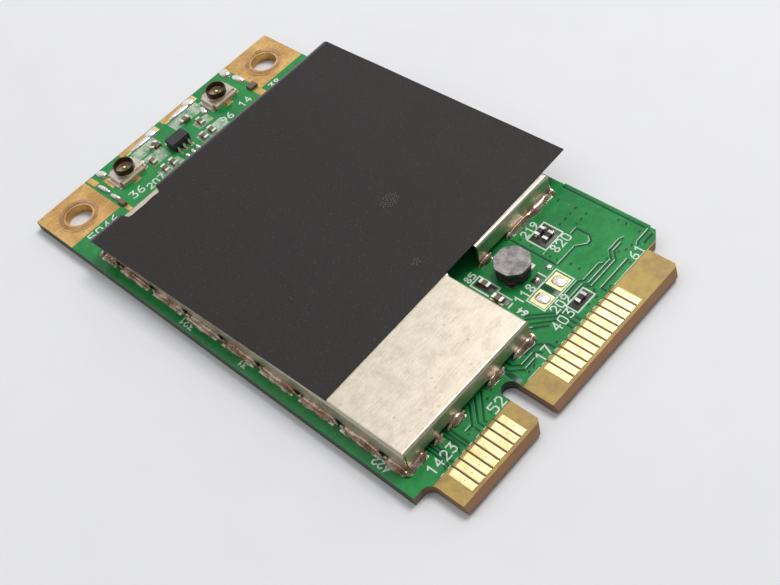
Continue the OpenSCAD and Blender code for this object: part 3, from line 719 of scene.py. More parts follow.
class Former:
    """Collects simple formed shapes into one mesh."""

    def __init__(self) -> None:
        """Starts with nothing formed."""
        self.bm = bmesh.new()

    def loft(self, rows: Sequence[Sequence[Vector]], closed: bool, caps: bool) -> None:
        """Skins rows of points of equal length.

        Args:
            rows: The rows, in order.
            closed: Whether each row is a loop.
            caps: Whether the first and last row are filled.
        """
        made = [[self.bm.verts.new(point) for point in row] for row in rows]
        count = len(made[0])
        for low, high in zip(made, made[1:]):
            for i in range(count if closed else count - 1):
                j = (i + 1) % count
                self.bm.faces.new((low[i], low[j], high[j], high[i]))
        if caps:
            self.bm.faces.new(list(reversed(made[0])))
            self.bm.faces.new(made[-1])

    def run(
        self, path: Sequence[Point], section: Sequence[Point], z: float, closed: bool = False
    ) -> None:
        """Runs a cross-section along a path on a flat face.

        Args:
            path: Plan points.
            section: Side offset and height of each point of the cross-section.
            z: Level of the face.
            closed: Whether the path returns to its start.
        """
        points = [Vector((*point, 0.0)) for point in path]
        count = len(points)
        rows = []
        for i, point in enumerate(points):
            before = points[i - 1] if i > 0 or closed else None
            after = points[(i + 1) % count] if i < count - 1 or closed else None
            into = (point - before).normalized() if before is not None else None
            out = (after - point).normalized() if after is not None else None
            into = into or out
            out = out or into
            along = (into + out).normalized()
            side = Vector((-along.y, along.x, 0.0)) / max(0.4, along.dot(into))
            rows.append([point + side * u + Vector((0, 0, z + v)) for u, v in section])
        if closed:
            rows.append(rows[0])
        self.loft(rows, closed=True, caps=not closed)

    def ridge(
        self, path: Sequence[Point], width: float, height: float, z: float, closed: bool = False
    ) -> None:
        """Forms a low rounded bead along a path on a flat face.

        Args:
            path: Plan points.
            width: Width of the bead.
            height: Height of the bead.
            z: Level of the face.
            closed: Whether the path returns to its start.
        """
        half = width / 2
        shape = ((-1.0, 0.0), (-0.82, 0.72), (-0.42, 1.0), (0.42, 1.0), (0.82, 0.72), (1.0, 0.0))
        section = [(half * u, height * v) for u, v in shape]
        if not closed:
            first, second = Vector(path[0]), Vector(path[1])
            last, before = Vector(path[-1]), Vector(path[-2])
            path = [
                tuple(first + (first - second).normalized() * half), *path[1:-1],
                tuple(last + (last - before).normalized() * half),
            ]
        self.run(path, section, z, closed)

    def dome(
        self, centre: Vector, rx: float, ry: float, height: float, square: float = 2.0,
        turn: float = 0.0,
    ) -> None:
        """Forms a rounded bump of solder.

        Args:
            centre: Middle of its foot.
            rx: Half its length.
            ry: Half its width.
            height: Its height.
            square: 2 for an ellipse, more for squarer corners.
            turn: Its angle about Z.
        """
        rows = []
        for level in (1.0, 0.94, 0.8, 0.6, 0.35, 0.12):
            lift = height * math.sqrt(max(0.0, 1.0 - level**2.6))
            row = []
            for c, s in circle(0.0, 0.0, 1.0, 28):
                reach = (abs(c) ** square + abs(s) ** square) ** (-1.0 / square)
                flat = Vector((c * reach * rx * level, s * reach * ry * level, 0.0))
                flat.rotate(Matrix.Rotation(turn, 3, "Z"))
                row.append(centre + flat + Vector((0, 0, lift)))
            rows.append(row)
        self.loft(rows, closed=True, caps=True)

    def slab(self, outline: Sequence[Point], low: float, high: float, edge: float) -> None:
        """Forms a flat plate whose upper edge is rounded over.

        Args:
            outline: Plan outline, counter-clockwise.
            low: Lower level.
            high: Upper level.
            edge: Width of the rounding.
        """
        centre = sum((Vector((*point, 0.0)) for point in outline), Vector()) / len(outline)
        steps = ((0.0, low), (0.0, high - edge), (0.3 * edge, high - 0.3 * edge), (edge, high))
        rows = []
        for inset, level in steps:
            row = []
            for x, y in outline:
                out = Vector((x, y, 0.0)) - centre
                drawn = out * max(0.0, 1.0 - inset / max(out.length, 1e-9) * 1.2)
                row.append(centre + drawn + Vector((0, 0, level)))
            rows.append(row)
        self.loft(rows, closed=True, caps=True)

    def finish(self, name: str, palette: Palette, smooth: float = 40.0) -> bpy.types.Object:
        """Closes the mesh and returns it as a dressed piece on the card.

        Args:
            name: The piece's name.
            palette: Its finish.
            smooth: Angle in degrees under which edges are smooth.

        Returns:
            The new object.
        """
        bmesh.ops.remove_doubles(self.bm, verts=self.bm.verts, dist=1e-7)
        bmesh.ops.recalc_face_normals(self.bm, faces=self.bm.faces)
        mesh = bpy.data.meshes.new(name)
        self.bm.to_mesh(mesh)
        self.bm.free()
        mesh.shade_smooth()
        mesh.set_sharp_from_angle(angle=math.radians(smooth))
        piece = add(name, mesh)
        palette.dress(piece)
        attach(piece, ROOT)
        LOG.info("%s: %d faces", name, len(mesh.polygons))
        return piece


def round_edges(width: float, *nodes: str, segments: int = 2) -> None:
    """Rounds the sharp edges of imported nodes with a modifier.

    Args:
        width: Width of the rounding.
        nodes: Names of the nodes.
        segments: Steps across the rounding.
    """
    for node in nodes:
        bevel = frame["nodes"][node].modifiers.new("edges", "BEVEL")
        bevel.width = width
        bevel.segments = segments
        bevel.limit_method = "ANGLE"
        bevel.angle_limit = math.radians(35)
        bevel.harden_normals = False


def dress(palette: Palette, *nodes: str) -> None:
    """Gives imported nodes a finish.

    Args:
        palette: The finish.
        nodes: Names of the nodes.
    """
    for node in nodes:
        palette.dress(frame["nodes"][node])
        LOG.info("%s: packed solid dressed as %s", node, palette.value.name)


# ---------------------------------------------------------------------------
# The card
# ---------------------------------------------------------------------------


@dataclass
class Card:
    """The circuit card: laminate, lacquer, lands and gold contacts."""

    contact_pitch: float = 0.8 * MM
    contact_w: float = 0.64 * MM
    neck_w: float = 0.3 * MM
    neck_l: float = 0.1 * MM
    taper: float = 0.08 * MM
    edge_r: float = 0.03 * MM
    edge_drop: float = 0.012 * MM
    dimple_y: float = 1.0 * MM
    dimple_r: float = 0.11 * MM
    dimple_drop: float = 0.008 * MM
    columns: int = 14
    row_step: float = 0.045 * MM
    mark_y: float = 1.0 * MM
    mark_w: float = 0.028 * MM
    mark_h: float = 0.006 * MM
    mark_shift: float = 0.06 * MM
    gap_shade_h: float = 0.003 * MM
    gap_shade_edge: float = 0.001 * MM
    hole_inset: float = 2.9 * MM
    ring_r: float = 1.7 * MM
    ring_w: float = 0.2 * MM

    def __post_init__(self) -> None:
        """Reads the card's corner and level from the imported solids."""
        self.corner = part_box("laminate")[0]
        self.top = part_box("solder_mask_top")[1].z

    def at(self, x: float, y: float) -> Point:
        """Returns a plan point in the frame.

        Args:
            x: Millimetres from the card's left edge.
            y: Millimetres from the tongue tips.

        Returns:
            The point in metres.
        """
        return self.corner.x + x * MM, self.corner.y + y * MM

    def corners(self, left: float, front: float, right: float, back: float) -> list[Point]:
        """Returns the corners of a rectangle given in millimetres from the card's corner."""
        return rectangle(*self.at(left, front), *self.at(right, back))

    def plates(self, former: Former, areas: Iterable[Area], height: float, edge: float) -> None:
        """Forms flat plates on the card, with rounded upper edges.

        Args:
            former: The mesh to add to.
            areas: Left, front, right and back of each plate, in millimetres.
            height: Their height.
            edge: Width of the rounding.
        """
        for area in areas:
            former.slab(self.corners(*area), self.top, self.top + height, edge)

    def build(self) -> None:
        """Dresses the card and builds its contacts."""
        dress(Palette.LAMINATE, "laminate")
        dress(Palette.LACQUER, "solder_mask_top", "solder_mask_bottom")
        dress(Palette.LAND, "land_left", "land_right")
        self.rings()
        round_edges(0.04 * MM, "laminate")
        for node in ("contacts_top_narrow", "contacts_top_wide"):
            self.contacts(node)
        dress(Palette.GOLD, "contacts_bottom_narrow", "contacts_bottom_wide", "solder_pads")
        dress(Palette.SOLDER, "shield_pads")

    def rings(self) -> None:
        """Builds the tarnished ring that a screw head pressed round each mounting hole."""
        former = Former()
        w = self.ring_w
        section = [(-w, 0.0), (-w, 0.012 * MM), (0.0, 0.008 * MM), (w, 0.014 * MM), (w, 0.0)]
        for node, side in (("land_left", 1), ("land_right", -1)):
            low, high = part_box(node)
            x = (low if side > 0 else high).x + side * self.hole_inset
            path = circle(x, high.y - self.hole_inset, self.ring_r, 72)
            former.run(path, section, high.z, closed=True)
        former.finish("pressed_rings", Palette.TARNISH)

    def contacts(self, node: str) -> None:
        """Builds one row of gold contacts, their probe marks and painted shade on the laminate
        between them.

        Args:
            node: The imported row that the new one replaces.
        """
        low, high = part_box(node)
        pitch, half = self.contact_pitch, self.contact_w / 2
        count = round((high.x - low.x - self.contact_w) / pitch) + 1
        middles = [low.x + half + i * pitch for i in range(count)]
        contacts, marks, gaps = Former(), Former(), Former()
        for x in middles:
            self.contact(contacts, x, low, high)
            shift = self.mark_shift * noise.noise(Vector((x * 3000, 0.0, 2.0)))
            self.probe_mark(marks, x + shift, low.y + self.mark_y + 2 * shift, high.z)
        # Painted shade on the laminate between neighbouring contacts.
        for x in middles[:-1]:
            gap = rectangle(x + half, low.y, x + pitch - half, high.y)
            gaps.slab(gap, low.z, low.z + self.gap_shade_h, self.gap_shade_edge)
        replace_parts(contacts.finish(f"gold_{node}", Palette.GOLD), node)
        marks.finish(f"probe_marks_{node}", Palette.STAIN)
        gaps.finish(f"contact_gap_shade_{node}", Palette.SHADE)

    def probe_mark(self, former: Former, x: float, y: float, z: float) -> None:
        """Forms the two short scratches that a test probe left.

        Args:
            former: The mesh to add to.
            x: Middle of the mark, across the card.
            y: Middle of the mark, along the card.
            z: Level of the gold.
        """
        for reach, drop in ((-0.09, 0.03), (0.09, -0.05)):
            far = (x + reach * MM, y + drop * MM)
            former.ridge([(x, y), far], self.mark_w, self.mark_h, z)

    def contact(self, former: Former, x: float, low: Vector, high: Vector) -> None:
        """Forms one contact as a thin sheet with rounded edges, a neck and a shallow dimple.

        Args:
            former: The mesh to add to.
            x: Middle of the contact.
            low: Lowest corner of the row.
            high: Highest corner of the row.
        """
        half, length = self.contact_w / 2, high.y - low.y
        taper_y = length - self.neck_l - self.taper
        levels = [0.0, 0.015 * MM] + [0.04 * MM + self.row_step * i for i in range(50)]
        rows = []
        for y in (min(level, length) for level in levels):
            share = min(1.0, max(0.0, (y - taper_y) / self.taper))
            reach = half + (self.neck_w / 2 - half) * share
            row = [Vector((x - reach, low.y + y, low.z))]
            for j in range(self.columns + 1):
                u = -1.0 + 2.0 * j / self.columns
                edge = min(1.0, (1.0 - abs(u)) * reach / self.edge_r, y / self.edge_r)
                drop = self.edge_drop * (1.0 - math.sqrt(max(0.0, edge * (2 - edge))))
                away = math.hypot(u * reach, y - self.dimple_y) / self.dimple_r
                drop += self.dimple_drop * max(0.0, 1.0 - away**2)
                row.append(Vector((x + u * reach, low.y + y, high.z - drop)))
            row.append(Vector((x + reach, low.y + y, low.z)))
            rows.append(row)
        former.loft(rows, closed=True, caps=True)


CARD = Card()


@dataclass
class Tracks:
    """Gaps between the copper areas, seen as dark grooves in the lacquer, and covered vias.

    "via_bank" is the offset, width and height of the bank round a via. "bare" holds areas
    without copper as left, front, right and back, in millimetres.
    """

    half: float = 0.085 * MM
    slope: float = 0.075 * MM
    height: float = 0.024 * MM
    bank: float = 0.26 * MM
    dense_bank: float = 0.03 * MM
    via_r: float = 0.13 * MM
    via_h: float = 0.012 * MM
    via_bank: tuple[float, float, float] = (0.05 * MM, 0.09 * MM, 0.014 * MM)
    # Size of the painted highlight lines on the lacquer.
    highlight_w: float = 0.075 * MM
    highlight_h: float = 0.02 * MM
    highlight_inset: float = 0.03 * MM
    shortest_highlight: float = 0.25 * MM
    bare: ClassVar[tuple[Area, ...]] = (
        (28.35, 3.75, 29.6, 4.2), (12.02, 3.6, 12.45, 5.3), (20.1, 6.3, 20.6, 7.95),
    )

    def dense(self) -> Iterable[Sequence[Point]]:
        """Yields gaps that run close together, in millimetres from the card's corner.

        Yields:
            The middle line of each gap.
        """
        for x, foot in ((3.62, 3.2), (3.92, 3.5), (4.22, 4.0)):
            yield [(x, 5.75), (x, 4.0), (x - 0.35, 3.62), (foot, 3.4)]
        for x in (5.24, 5.52, 5.86):
            yield [(x, 5.75), (x, 3.95 if x < 5.5 else 3.4)]
        yield [(5.24, 3.95), (4.8, 3.42)]
        yield [(7.1, 3.4), (7.1, 4.15), (8.45, 5.6)]
        yield [(7.58, 3.4), (7.58, 4.0), (9.1, 5.6)]
        yield [(8.05, 3.45), (7.95, 3.72), (9.85, 5.6)]
        yield [(12.42, 5.7), (12.42, 5.0), (13.2, 4.15), (13.25, 3.95)]
        yield [(12.95, 5.7), (12.95, 5.15), (13.45, 4.48), (14.85, 4.48), (15.2, 4.1), (15.2, 3.9)]
        yield [(13.35, 4.02), (14.5, 4.02)]
        yield [(14.3, 4.95), (15.6, 4.8), (16.15, 4.0), (16.15, 3.42)]
        yield [(16.45, 6.1), (16.65, 5.95), (17.55, 5.05)]
        yield [(16.6, 6.5), (16.8, 6.4), (18.4, 4.75), (18.4, 3.42)]
        yield [(16.85, 7.0), (17.05, 6.85), (18.9, 4.8), (18.9, 3.42)]
        yield [(17.15, 7.2), (17.35, 7.05), (19.38, 4.7), (19.38, 3.42)]
        yield [(20.7, 5.86), (22.25, 5.86), (22.65, 5.5), (24.6, 5.5), (24.85, 5.3), (24.7, 5.1)]
        yield [
            (20.6, 5.32), (22.25, 5.32), (22.6, 5.0), (25.5, 5.0), (26.2, 5.65), (27.6, 5.65),
            (27.95, 5.45),
        ]
        yield [(22.1, 5.2), (22.5, 4.63), (25.65, 4.63), (26.35, 5.32), (27.4, 5.32)]
        yield [(21.9, 3.95), (22.4, 4.4)]

    def wide(self) -> Iterable[Sequence[Point]]:
        """Yields gaps that stand alone, in millimetres from the card's corner.

        Yields:
            The middle line of each gap.
        """
        yield [(6.45, 4.2), (7.1, 4.2)]
        yield [(22.75, 3.42), (22.75, 3.92), (26.3, 3.92)]
        yield [
            (22.7, 8.15), (25.0, 8.15), (25.75, 7.45), (26.2, 7.45), (26.62, 7.9), (26.62, 9.22),
            (25.9, 9.22),
        ]
        yield [(27.9, 4.15), (28.25, 4.32), (29.75, 4.32)]
        yield [(22.64, 8.2), (22.64, 13.1)]
        yield [(22.9, 9.7), (23.2, 9.7)]
        yield [(29.72, 4.4), (29.72, 13.0)]

    def vias(self) -> Iterable[Point]:
        """Yields the middle of each covered via.

        Yields:
            Millimetres from the card's corner.
        """
        yield from ((x, 10.6) for x in (26.25, 26.95, 27.65, 28.35))
        yield from ((x, 9.5) for x in (26.95, 27.65, 28.35))
        yield from ((23.05, y) for y in (8.5, 9.2, 11.15, 12.3))
        yield from (
            (23.37, 6.5), (23.37, 7.35), (28.3, 12.35), (29.2, 6.9), (29.25, 6.15), (29.15, 4.8),
            (27.75, 5.48), (25.4, 5.25), (27.0, 4.6), (27.65, 4.5), (26.1, 3.6), (26.5, 4.95),
            (6.5, 3.95), (9.6, 4.75), (8.9, 3.85), (13.3, 3.68), (13.95, 3.75), (16.65, 3.65),
            (20.9, 3.75), (23.3, 3.5), (21.85, 3.7), (19.0, 5.6), (10.35, 5.0),
        )

    def build(self) -> None:
        """Builds the banks and the dark floors of the gaps."""
        banks, floors, highlights = Former(), Former(), Former()
        half, low = self.half, 0.3 * self.height
        floor = [(-half, 0.0), (-half, low), (half, low), (half, 0.0)]
        for paths, bank, least in (
            (self.dense(), self.dense_bank, 0.75), (self.wide(), self.bank, 0.4),
        ):
            for path in paths:
                points = [CARD.at(*point) for point in path]
                self.groove(banks, points, bank)
                for start, end in zip(points, points[1:]):
                    # Painted highlight on the lacquer behind each length that runs across the card.
                    self.highlight_line(highlights, Vector(start), Vector(end), least)
                floors.run(points, floor, CARD.top)
        offset, width, height = self.via_bank
        for via in self.vias():
            x, y = CARD.at(*via)
            floors.dome(Vector((x, y, CARD.top)), self.via_r, self.via_r, self.via_h)
            around = circle(x, y, self.via_r + offset, 20)
            banks.ridge(around, width, height, CARD.top, closed=True)
        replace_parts(banks.finish("covered_tracks", Palette.LACQUER), "tracks")
        CARD.plates(floors, self.bare, 0.005 * MM, 0.002 * MM)
        floors.finish("pour_gaps", Palette.BARE_LACQUER)
        # Painted highlights along the lacquer's edges above the contacts.
        for path in self.steps():
            highlights.ridge([CARD.at(*point) for point in path], self.highlight_w, self.highlight_h, CARD.top)
        highlights.finish("lacquer_painted_highlights", Palette.LACQUER_HIGHLIGHT)

    def steps(self) -> Iterable[Sequence[Point]]:
        """Yields painted highlights on the lacquer's edges beside the contacts, in the same
        millimetres.

        Yields:
            The line of each edge.
        """
        yield [(23.6, 3.32), (27.75, 3.32)]
        yield [(12.7, 3.32), (14.05, 3.32)]
        for x in (2.55, 3.35, 4.15, 4.95, 5.75, 6.55, 7.35):
            yield [(x, 3.3), (x + 0.28, 3.3)]
        for i in range(10):
            yield [(14.35 + 0.8 * i, 3.3), (14.63 + 0.8 * i, 3.3)]

    def highlight_line(self, former: Former, start: Vector, end: Vector, least: float) -> None:
        """Adds a painted highlight on the bank behind a gap, on its side towards the card's antenna
        end.

        Args:
            former: The mesh to add to.
            start: Start of one straight length of the gap.
            end: Its end.
            least: How far the length has to run across the card, 0 to 1, to get a line.
        """
        along = end - start
        if along.length < self.shortest_highlight or abs(along.x) / along.length < least:
            return
        side = Vector((-along.y, along.x)).normalized()
        side *= 1.0 if side.y > 0 else -1.0
        offset = side * (self.half + 0.55 * self.slope)
        inset = along.normalized() * self.highlight_inset
        ends = [tuple(start + offset + inset), tuple(end + offset - inset)]
        former.ridge(ends, self.highlight_w, self.height, CARD.top)

    def groove(self, former: Former, path: Sequence[Point], bank: float) -> None:
        """Raises a bank along each side of a gap, steep towards the gap and gentle away from it.

        Args:
            former: The mesh to add to.
            path: The gap's middle line.
            bank: Width of a bank's outer slope.
        """
        inner = self.half
        top = inner + self.slope
        for side in (-1.0, 1.0):
            slopes = ((inner, 0.0), (top, self.height), (top + bank, 0.0))
            section = [(side * u, v) for u, v in slopes]
            former.run(path, section, CARD.top)


@dataclass
class Print:
    """White printed outlines and plain numbers.

    "strokes" draws each digit in a box of height 1. "frames" holds closed outlines as left,
    front, right and back, and "lines" open ones, in millimetres from the card's corner.
    """

    width: float = 0.13 * MM
    height: float = 0.02 * MM
    pitch: float = 0.92
    strokes: ClassVar[dict[str, list[Point]]] = {
        "0": [
            (0.1, 0), (0.5, 0), (0.6, 0.2), (0.6, 0.8), (0.5, 1), (0.1, 1), (0, 0.8), (0, 0.2),
            (0.1, 0),
        ],
        "1": [(0.1, 0.8), (0.35, 1), (0.35, 0)],
        "2": [(0, 0.8), (0.15, 1), (0.45, 1), (0.6, 0.8), (0.6, 0.6), (0, 0), (0.6, 0)],
        "3": [
            (0, 1), (0.6, 1), (0.25, 0.58), (0.5, 0.55), (0.6, 0.35), (0.55, 0.1), (0.3, 0),
            (0, 0.1),
        ],
        "4": [(0.45, 0), (0.45, 1), (0, 0.35), (0.6, 0.35)],
        "5": [(0.6, 1), (0, 1), (0, 0.6), (0.45, 0.6), (0.6, 0.45), (0.6, 0.15), (0.45, 0), (0, 0)],
        "6": [
            (0.5, 1), (0.15, 0.75), (0, 0.4), (0, 0.15), (0.15, 0), (0.45, 0), (0.6, 0.2),
            (0.5, 0.5), (0.02, 0.45),
        ],
        "7": [(0, 1), (0.6, 1), (0.2, 0)],
        "8": [
            (0.3, 0.53), (0.05, 0.75), (0.15, 1), (0.45, 1), (0.55, 0.75), (0.3, 0.53),
            (0, 0.25), (0.15, 0), (0.45, 0), (0.6, 0.25), (0.3, 0.53),
        ],
        "9": [
            (0.1, 0), (0.45, 0.25), (0.6, 0.6), (0.6, 0.85), (0.45, 1), (0.15, 1), (0, 0.8),
            (0.1, 0.5), (0.58, 0.55),
        ],
    }
    frames: ClassVar[tuple[Area, ...]] = (
        (18.47, 6.22, 22.3, 8.02), (23.38, 9.9, 25.68, 11.85), (19.8, 4.0, 22.0, 5.15),
    )
    lines: ClassVar[tuple[Sequence[Point], ...]] = (
        ((17.08, 10.8), (17.08, 12.68), (18.25, 12.68), (18.25, 10.5), (17.85, 10.5), (17.85, 9.0)),
        ((21.2, 8.2), (21.2, 8.95)),
        ((17.1, 8.75), (17.6, 8.75)),
    )

    def numbers(self) -> Iterable[tuple[str, float, float, float, float]]:
        """Yields each number with its corner, its height and its turn in degrees.

        Yields:
            Digits, left, front and height in millimetres, and the turn.
        """
        yield "1423", 2.3, 3.78, 0.82, 0
        yield "52", 8.95, 3.42, 0.85, 0
        yield "17", 14.6, 3.4, 0.85, 0
        yield "403", 17.55, 4.12, 0.85, 0
        yield "61", 26.6, 3.35, 0.82, 0
        yield "209", 18.8, 5.28, 0.75, 0
        yield "118", 17.95, 8.15, 0.78, 0
        yield "85", 17.2, 12.9, 0.6, 0
        yield "64", 17.65, 7.2, 0.5, 90
        yield "219", 23.5, 12.0, 0.68, 0
        yield "820", 23.7, 8.98, 0.8, 0
        yield "422", 0.95, 6.7, 0.62, 90
        yield "31", 0.9, 22.4, 0.5, 90
        yield "321", 0.95, 29.0, 0.62, 90
        yield "5046", 1.7, 44.2, 0.95, 0
        yield "36", 7.3, 45.0, 0.9, 0
        yield "207", 9.0, 44.55, 0.75, 0
        yield "96", 18.9, 44.9, 0.8, 0
        yield "14", 21.4, 45.0, 0.8, 0
        yield "38", 24.9, 44.3, 0.75, 0

    def write(self, former: Former, number: str, corner: Point, size: float, turn: float) -> None:
        """Prints a number in single strokes.

        Args:
            former: The mesh to add to.
            number: The digits.
            corner: Lower left corner of the first digit.
            size: Height of the digits.
            turn: Angle in degrees.
        """
        c, s = math.cos(math.radians(turn)), math.sin(math.radians(turn))
        for index, digit in enumerate(number):
            path = []
            for u, v in self.strokes[digit]:
                x, y = (u + self.pitch * index) * size, v * size
                path.append((corner[0] + c * x - s * y, corner[1] + s * x + c * y))
            former.ridge(path, self.width, self.height, CARD.top)

    def build(self) -> None:
        """Builds outlines and numbers as one piece."""
        former = Former()
        for area in self.frames:
            former.ridge(CARD.corners(*area), self.width, self.height, CARD.top, closed=True)
        for line in self.lines:
            former.ridge([CARD.at(*point) for point in line], self.width, self.height, CARD.top)
        for number, x, y, size, turn in self.numbers():
            self.write(former, number, CARD.at(x, y), size * MM, turn)
        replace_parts(former.finish("printed_legend", Palette.PRINT), "legend")


# ---------------------------------------------------------------------------
# Shield can and film
# ---------------------------------------------------------------------------


@dataclass
class ShieldCan:
    """The folded can and the solder lumps at its feet.

    "section" is a lump's cross-section, as shares of its reach from the wall and of its height.
    """

    reach: float = 0.50 * MM
    height: float = 0.42 * MM
    step: float = 0.1 * MM
    shortest: float = 0.2 * MM
    section: ClassVar[tuple[Point, ...]] = (
        (-0.1, 0.0), (-0.1, 1.0), (0.25, 0.96), (0.5, 0.84), (0.73, 0.62), (0.9, 0.36), (1.0, 0.0),
    )

    def build(self) -> None:
        """Dresses the can and builds its solder."""
        dress(Palette.TINNED, "shield_can")
        round_edges(0.03 * MM, "shield_can")
        former = Former()
        for island in self.islands("shield_solder"):
            self.lump(former, island)
        solder = former.finish("foot_solder", Palette.FOOT_SOLDER, smooth=70.0)
        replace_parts(solder, "shield_solder")

    def islands(self, node: str) -> list[list[Vector]]:
        """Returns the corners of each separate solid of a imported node.

        Args:
            node: The node's name.

        Returns:
            One list of corners for each solid.
        """
        bm = bmesh.new()
        bm.from_mesh(frame["nodes"][node].data)
        found, seen = [], set()
        for start in bm.verts:
            if start.index in seen:
                continue
            seen.add(start.index)
            stack, island = [start], []
            while stack:
                vert = stack.pop()
                island.append(vert.co.copy())
                for edge in vert.link_edges:
                    other = edge.other_vert(vert)
                    if other.index not in seen:
                        seen.add(other.index)
                        stack.append(other)
            found.append(island)
        bm.free()
        return found

    def lump(self, former: Former, island: Sequence[Vector]) -> None:
        """Forms the rounded, uneven solder of one foot.

        Args:
            former: The mesh to add to.
            island: Corners of the plain wedge that it stands for.
        """
        low = Vector([min(p[k] for p in island) for k in range(3)])
        high = Vector([max(p[k] for p in island) for k in range(3)])
        along = 0 if high.x - low.x > high.y - low.y else 1
        if high[along] - low[along] < self.shortest:
            return
        across = 1 - along
        wall = max(island, key=lambda p: p.z)[across]
        away = 1.0 if wall < (low[across] + high[across]) / 2 else -1.0
        length = high[along] - low[along]
        count = max(8, int(length / self.step))
        rows = []
        for i in range(count + 1):
            t = i / count
            place = low[along] + length * t
            end = math.sqrt(max(0.0, 1.0 - abs(2 * t - 1) ** 5)) + 0.05
            wide = 0.95 + 0.3 * noise.noise(Vector((place * 900, wall * 900, 5.0)))
            tall = 0.95 + 0.5 * noise.noise(Vector((place * 800, wall * 900, 9.0)))
            reach, height = self.reach * end * wide, self.height * end * tall
            row = []
            for u, v in self.section:
                point = Vector((0.0, 0.0, low.z + max(0.02 * MM, height) * v))
                point[along] = place
                point[across] = wall + away * reach * u
                row.append(point)
            rows.append(row)
        former.loft(rows, closed=True, caps=True)


@dataclass
class Film:
    """The black film: askew on the can, past its right side and curled down behind."""

    skew: float = math.radians(1.2)
    thickness: float = 0.1 * MM
    width: float = 30.1 * MM
    curl_angle: float = math.radians(42)
    curl_r: float = 1.0 * MM
    cut_from: float = 3.1 * MM
    cut_w: float = 4.3 * MM
    cut_depth: float = 0.52 * MM
    cut_slopes: Point = (0.25 * MM, 0.5 * MM)
    wear: float = 0.10 * MM
    wave_h: float = 0.006 * MM
    droop: float = 0.03
    golden_angle: float = 2.4
    fold_in: float = 0.25 * MM
    side_in: float = 0.1 * MM
    rows: int = 90
    columns: int = 110

    def build(self) -> None:
        """Builds the film as a closed sheet with slight waves."""
        can_low, can_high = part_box("shield_can")
        self.level = can_high.z
        self.fold = can_high.y - self.fold_in
        self.left = can_low.x + self.side_in
        self.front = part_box("insulating_film")[0].y
        self.can_left, self.can_right = can_low.x, can_high.x
        rows, columns = range(self.rows + 1), range(self.columns + 1)
        top, under = (
            [[self.point(i, j, lift) for j in columns] for i in rows]
            for lift in (self.thickness, 0.0)
        )
        former = Former()
        loops = [upper + lower[::-1] for upper, lower in zip(top, under)]
        former.loft(loops, closed=True, caps=True)
        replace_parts(former.finish("black_film", Palette.FILM, smooth=50.0), "insulating_film")
        self.scuffs()

    def scuffs(self) -> None:
        """Builds the rubbed places, each a cluster of small raised flakes."""
        former = Former()
        places = ((19.0, 22.75, 0.95, 46), (15.25, 16.45, 0.42, 12), (8.1, 21.5, 0.3, 3))
        for x, y, reach, count in places:
            cx, cy = CARD.at(x, y)
            for k in range(count):
                angle = self.golden_angle * k
                out = reach * MM * math.sqrt((k + 0.5) / count)
                place = Vector((cx + out * math.cos(angle), cy + 0.75 * out * math.sin(angle), 0.0))
                uneven = noise.noise(place * 5000)
                size = (0.05 + 0.05 * abs(uneven)) * MM
                place.z = self.level + self.thickness
                former.dome(place, size, 0.6 * size, (0.02 + 0.03 * abs(uneven)) * MM, turn=angle)
        former.finish("film_scuffs", Palette.SCUFF, smooth=60.0)

    def point(self, i: int, j: int, lift: float) -> Vector:
        """Returns one point of the sheet.

        Args:
            i: Row from the front.
            j: Column from the left.
            lift: Height above the film's underside.

        Returns:
            The point in the frame.
        """
        across = self.width * j / self.columns
        sine, cosine = math.sin(self.skew), math.cos(self.skew)
        start = self.front + across * sine
        flat_length = self.fold - start
        curl_length = self.curl_r * self.curl_angle
        x_at_fold = self.left + across * cosine - flat_length * sine
        whole = flat_length + curl_length - self.ragged(x_at_fold - self.can_left, curl_length)
        along = whole * (i / self.rows)
        x = self.left + across * cosine - min(along, flat_length) * sine
        if along <= flat_length:
            y = start + along
            z = self.level + lift
        else:
            angle = (along - flat_length) / self.curl_r
            reach = self.curl_r + lift
            y = self.fold + reach * math.sin(angle)
            z = self.level - self.curl_r + reach * math.cos(angle)
        return Vector((x, y, z + self.wave(x, y)))

    def ragged(self, x: float, curl: float) -> float:
        """Returns how much of the sheet's end is missing, at the cut and by wear.

        Args:
            x: Distance from the can's left side.
            curl: Length of the curl.

        Returns:
            The missing length.
        """
        inside = x - self.cut_from
        rough = self.wear * noise.noise(Vector((x * 900, 3.1, 0.0)))
        if inside < 0 or inside > self.cut_w:
            return max(0.0, 0.5 * (self.wear + rough))
        near, far = self.cut_slopes
        slope = min(1.0, inside / near, (self.cut_w - inside) / far)
        return slope * (curl + self.cut_depth + rough)

    def wave(self, x: float, y: float) -> float:
        """Returns the sheet's slight waviness, which grows where nothing is under it.

        Args:
            x: Place across the card.
            y: Place along the card.

        Returns:
            How far the sheet is lifted there.
        """
        over = max(0.0, x - self.can_right)
        value = noise.noise(Vector((x * 160, y * 160, 0.7)))
        return self.wave_h * (value + 1.0) + self.droop * over * (value + 0.4)


# ---------------------------------------------------------------------------
# Sockets and small parts
# ---------------------------------------------------------------------------


@dataclass
class Sockets:
    """The two micro coaxial antenna sockets."""

    edge: float = 0.03 * MM

    def build(self) -> None:
        """Dresses the sockets and rounds their folded edges."""
        for side in ("left", "right"):
            dress(Palette.SOCKET_SHEET, f"receptacle_shell_{side}")
            dress(Palette.SOCKET_BASE, f"receptacle_base_{side}")
            dress(Palette.GOLD, f"receptacle_pin_{side}")
            round_edges(self.edge, f"receptacle_shell_{side}", f"receptacle_base_{side}")


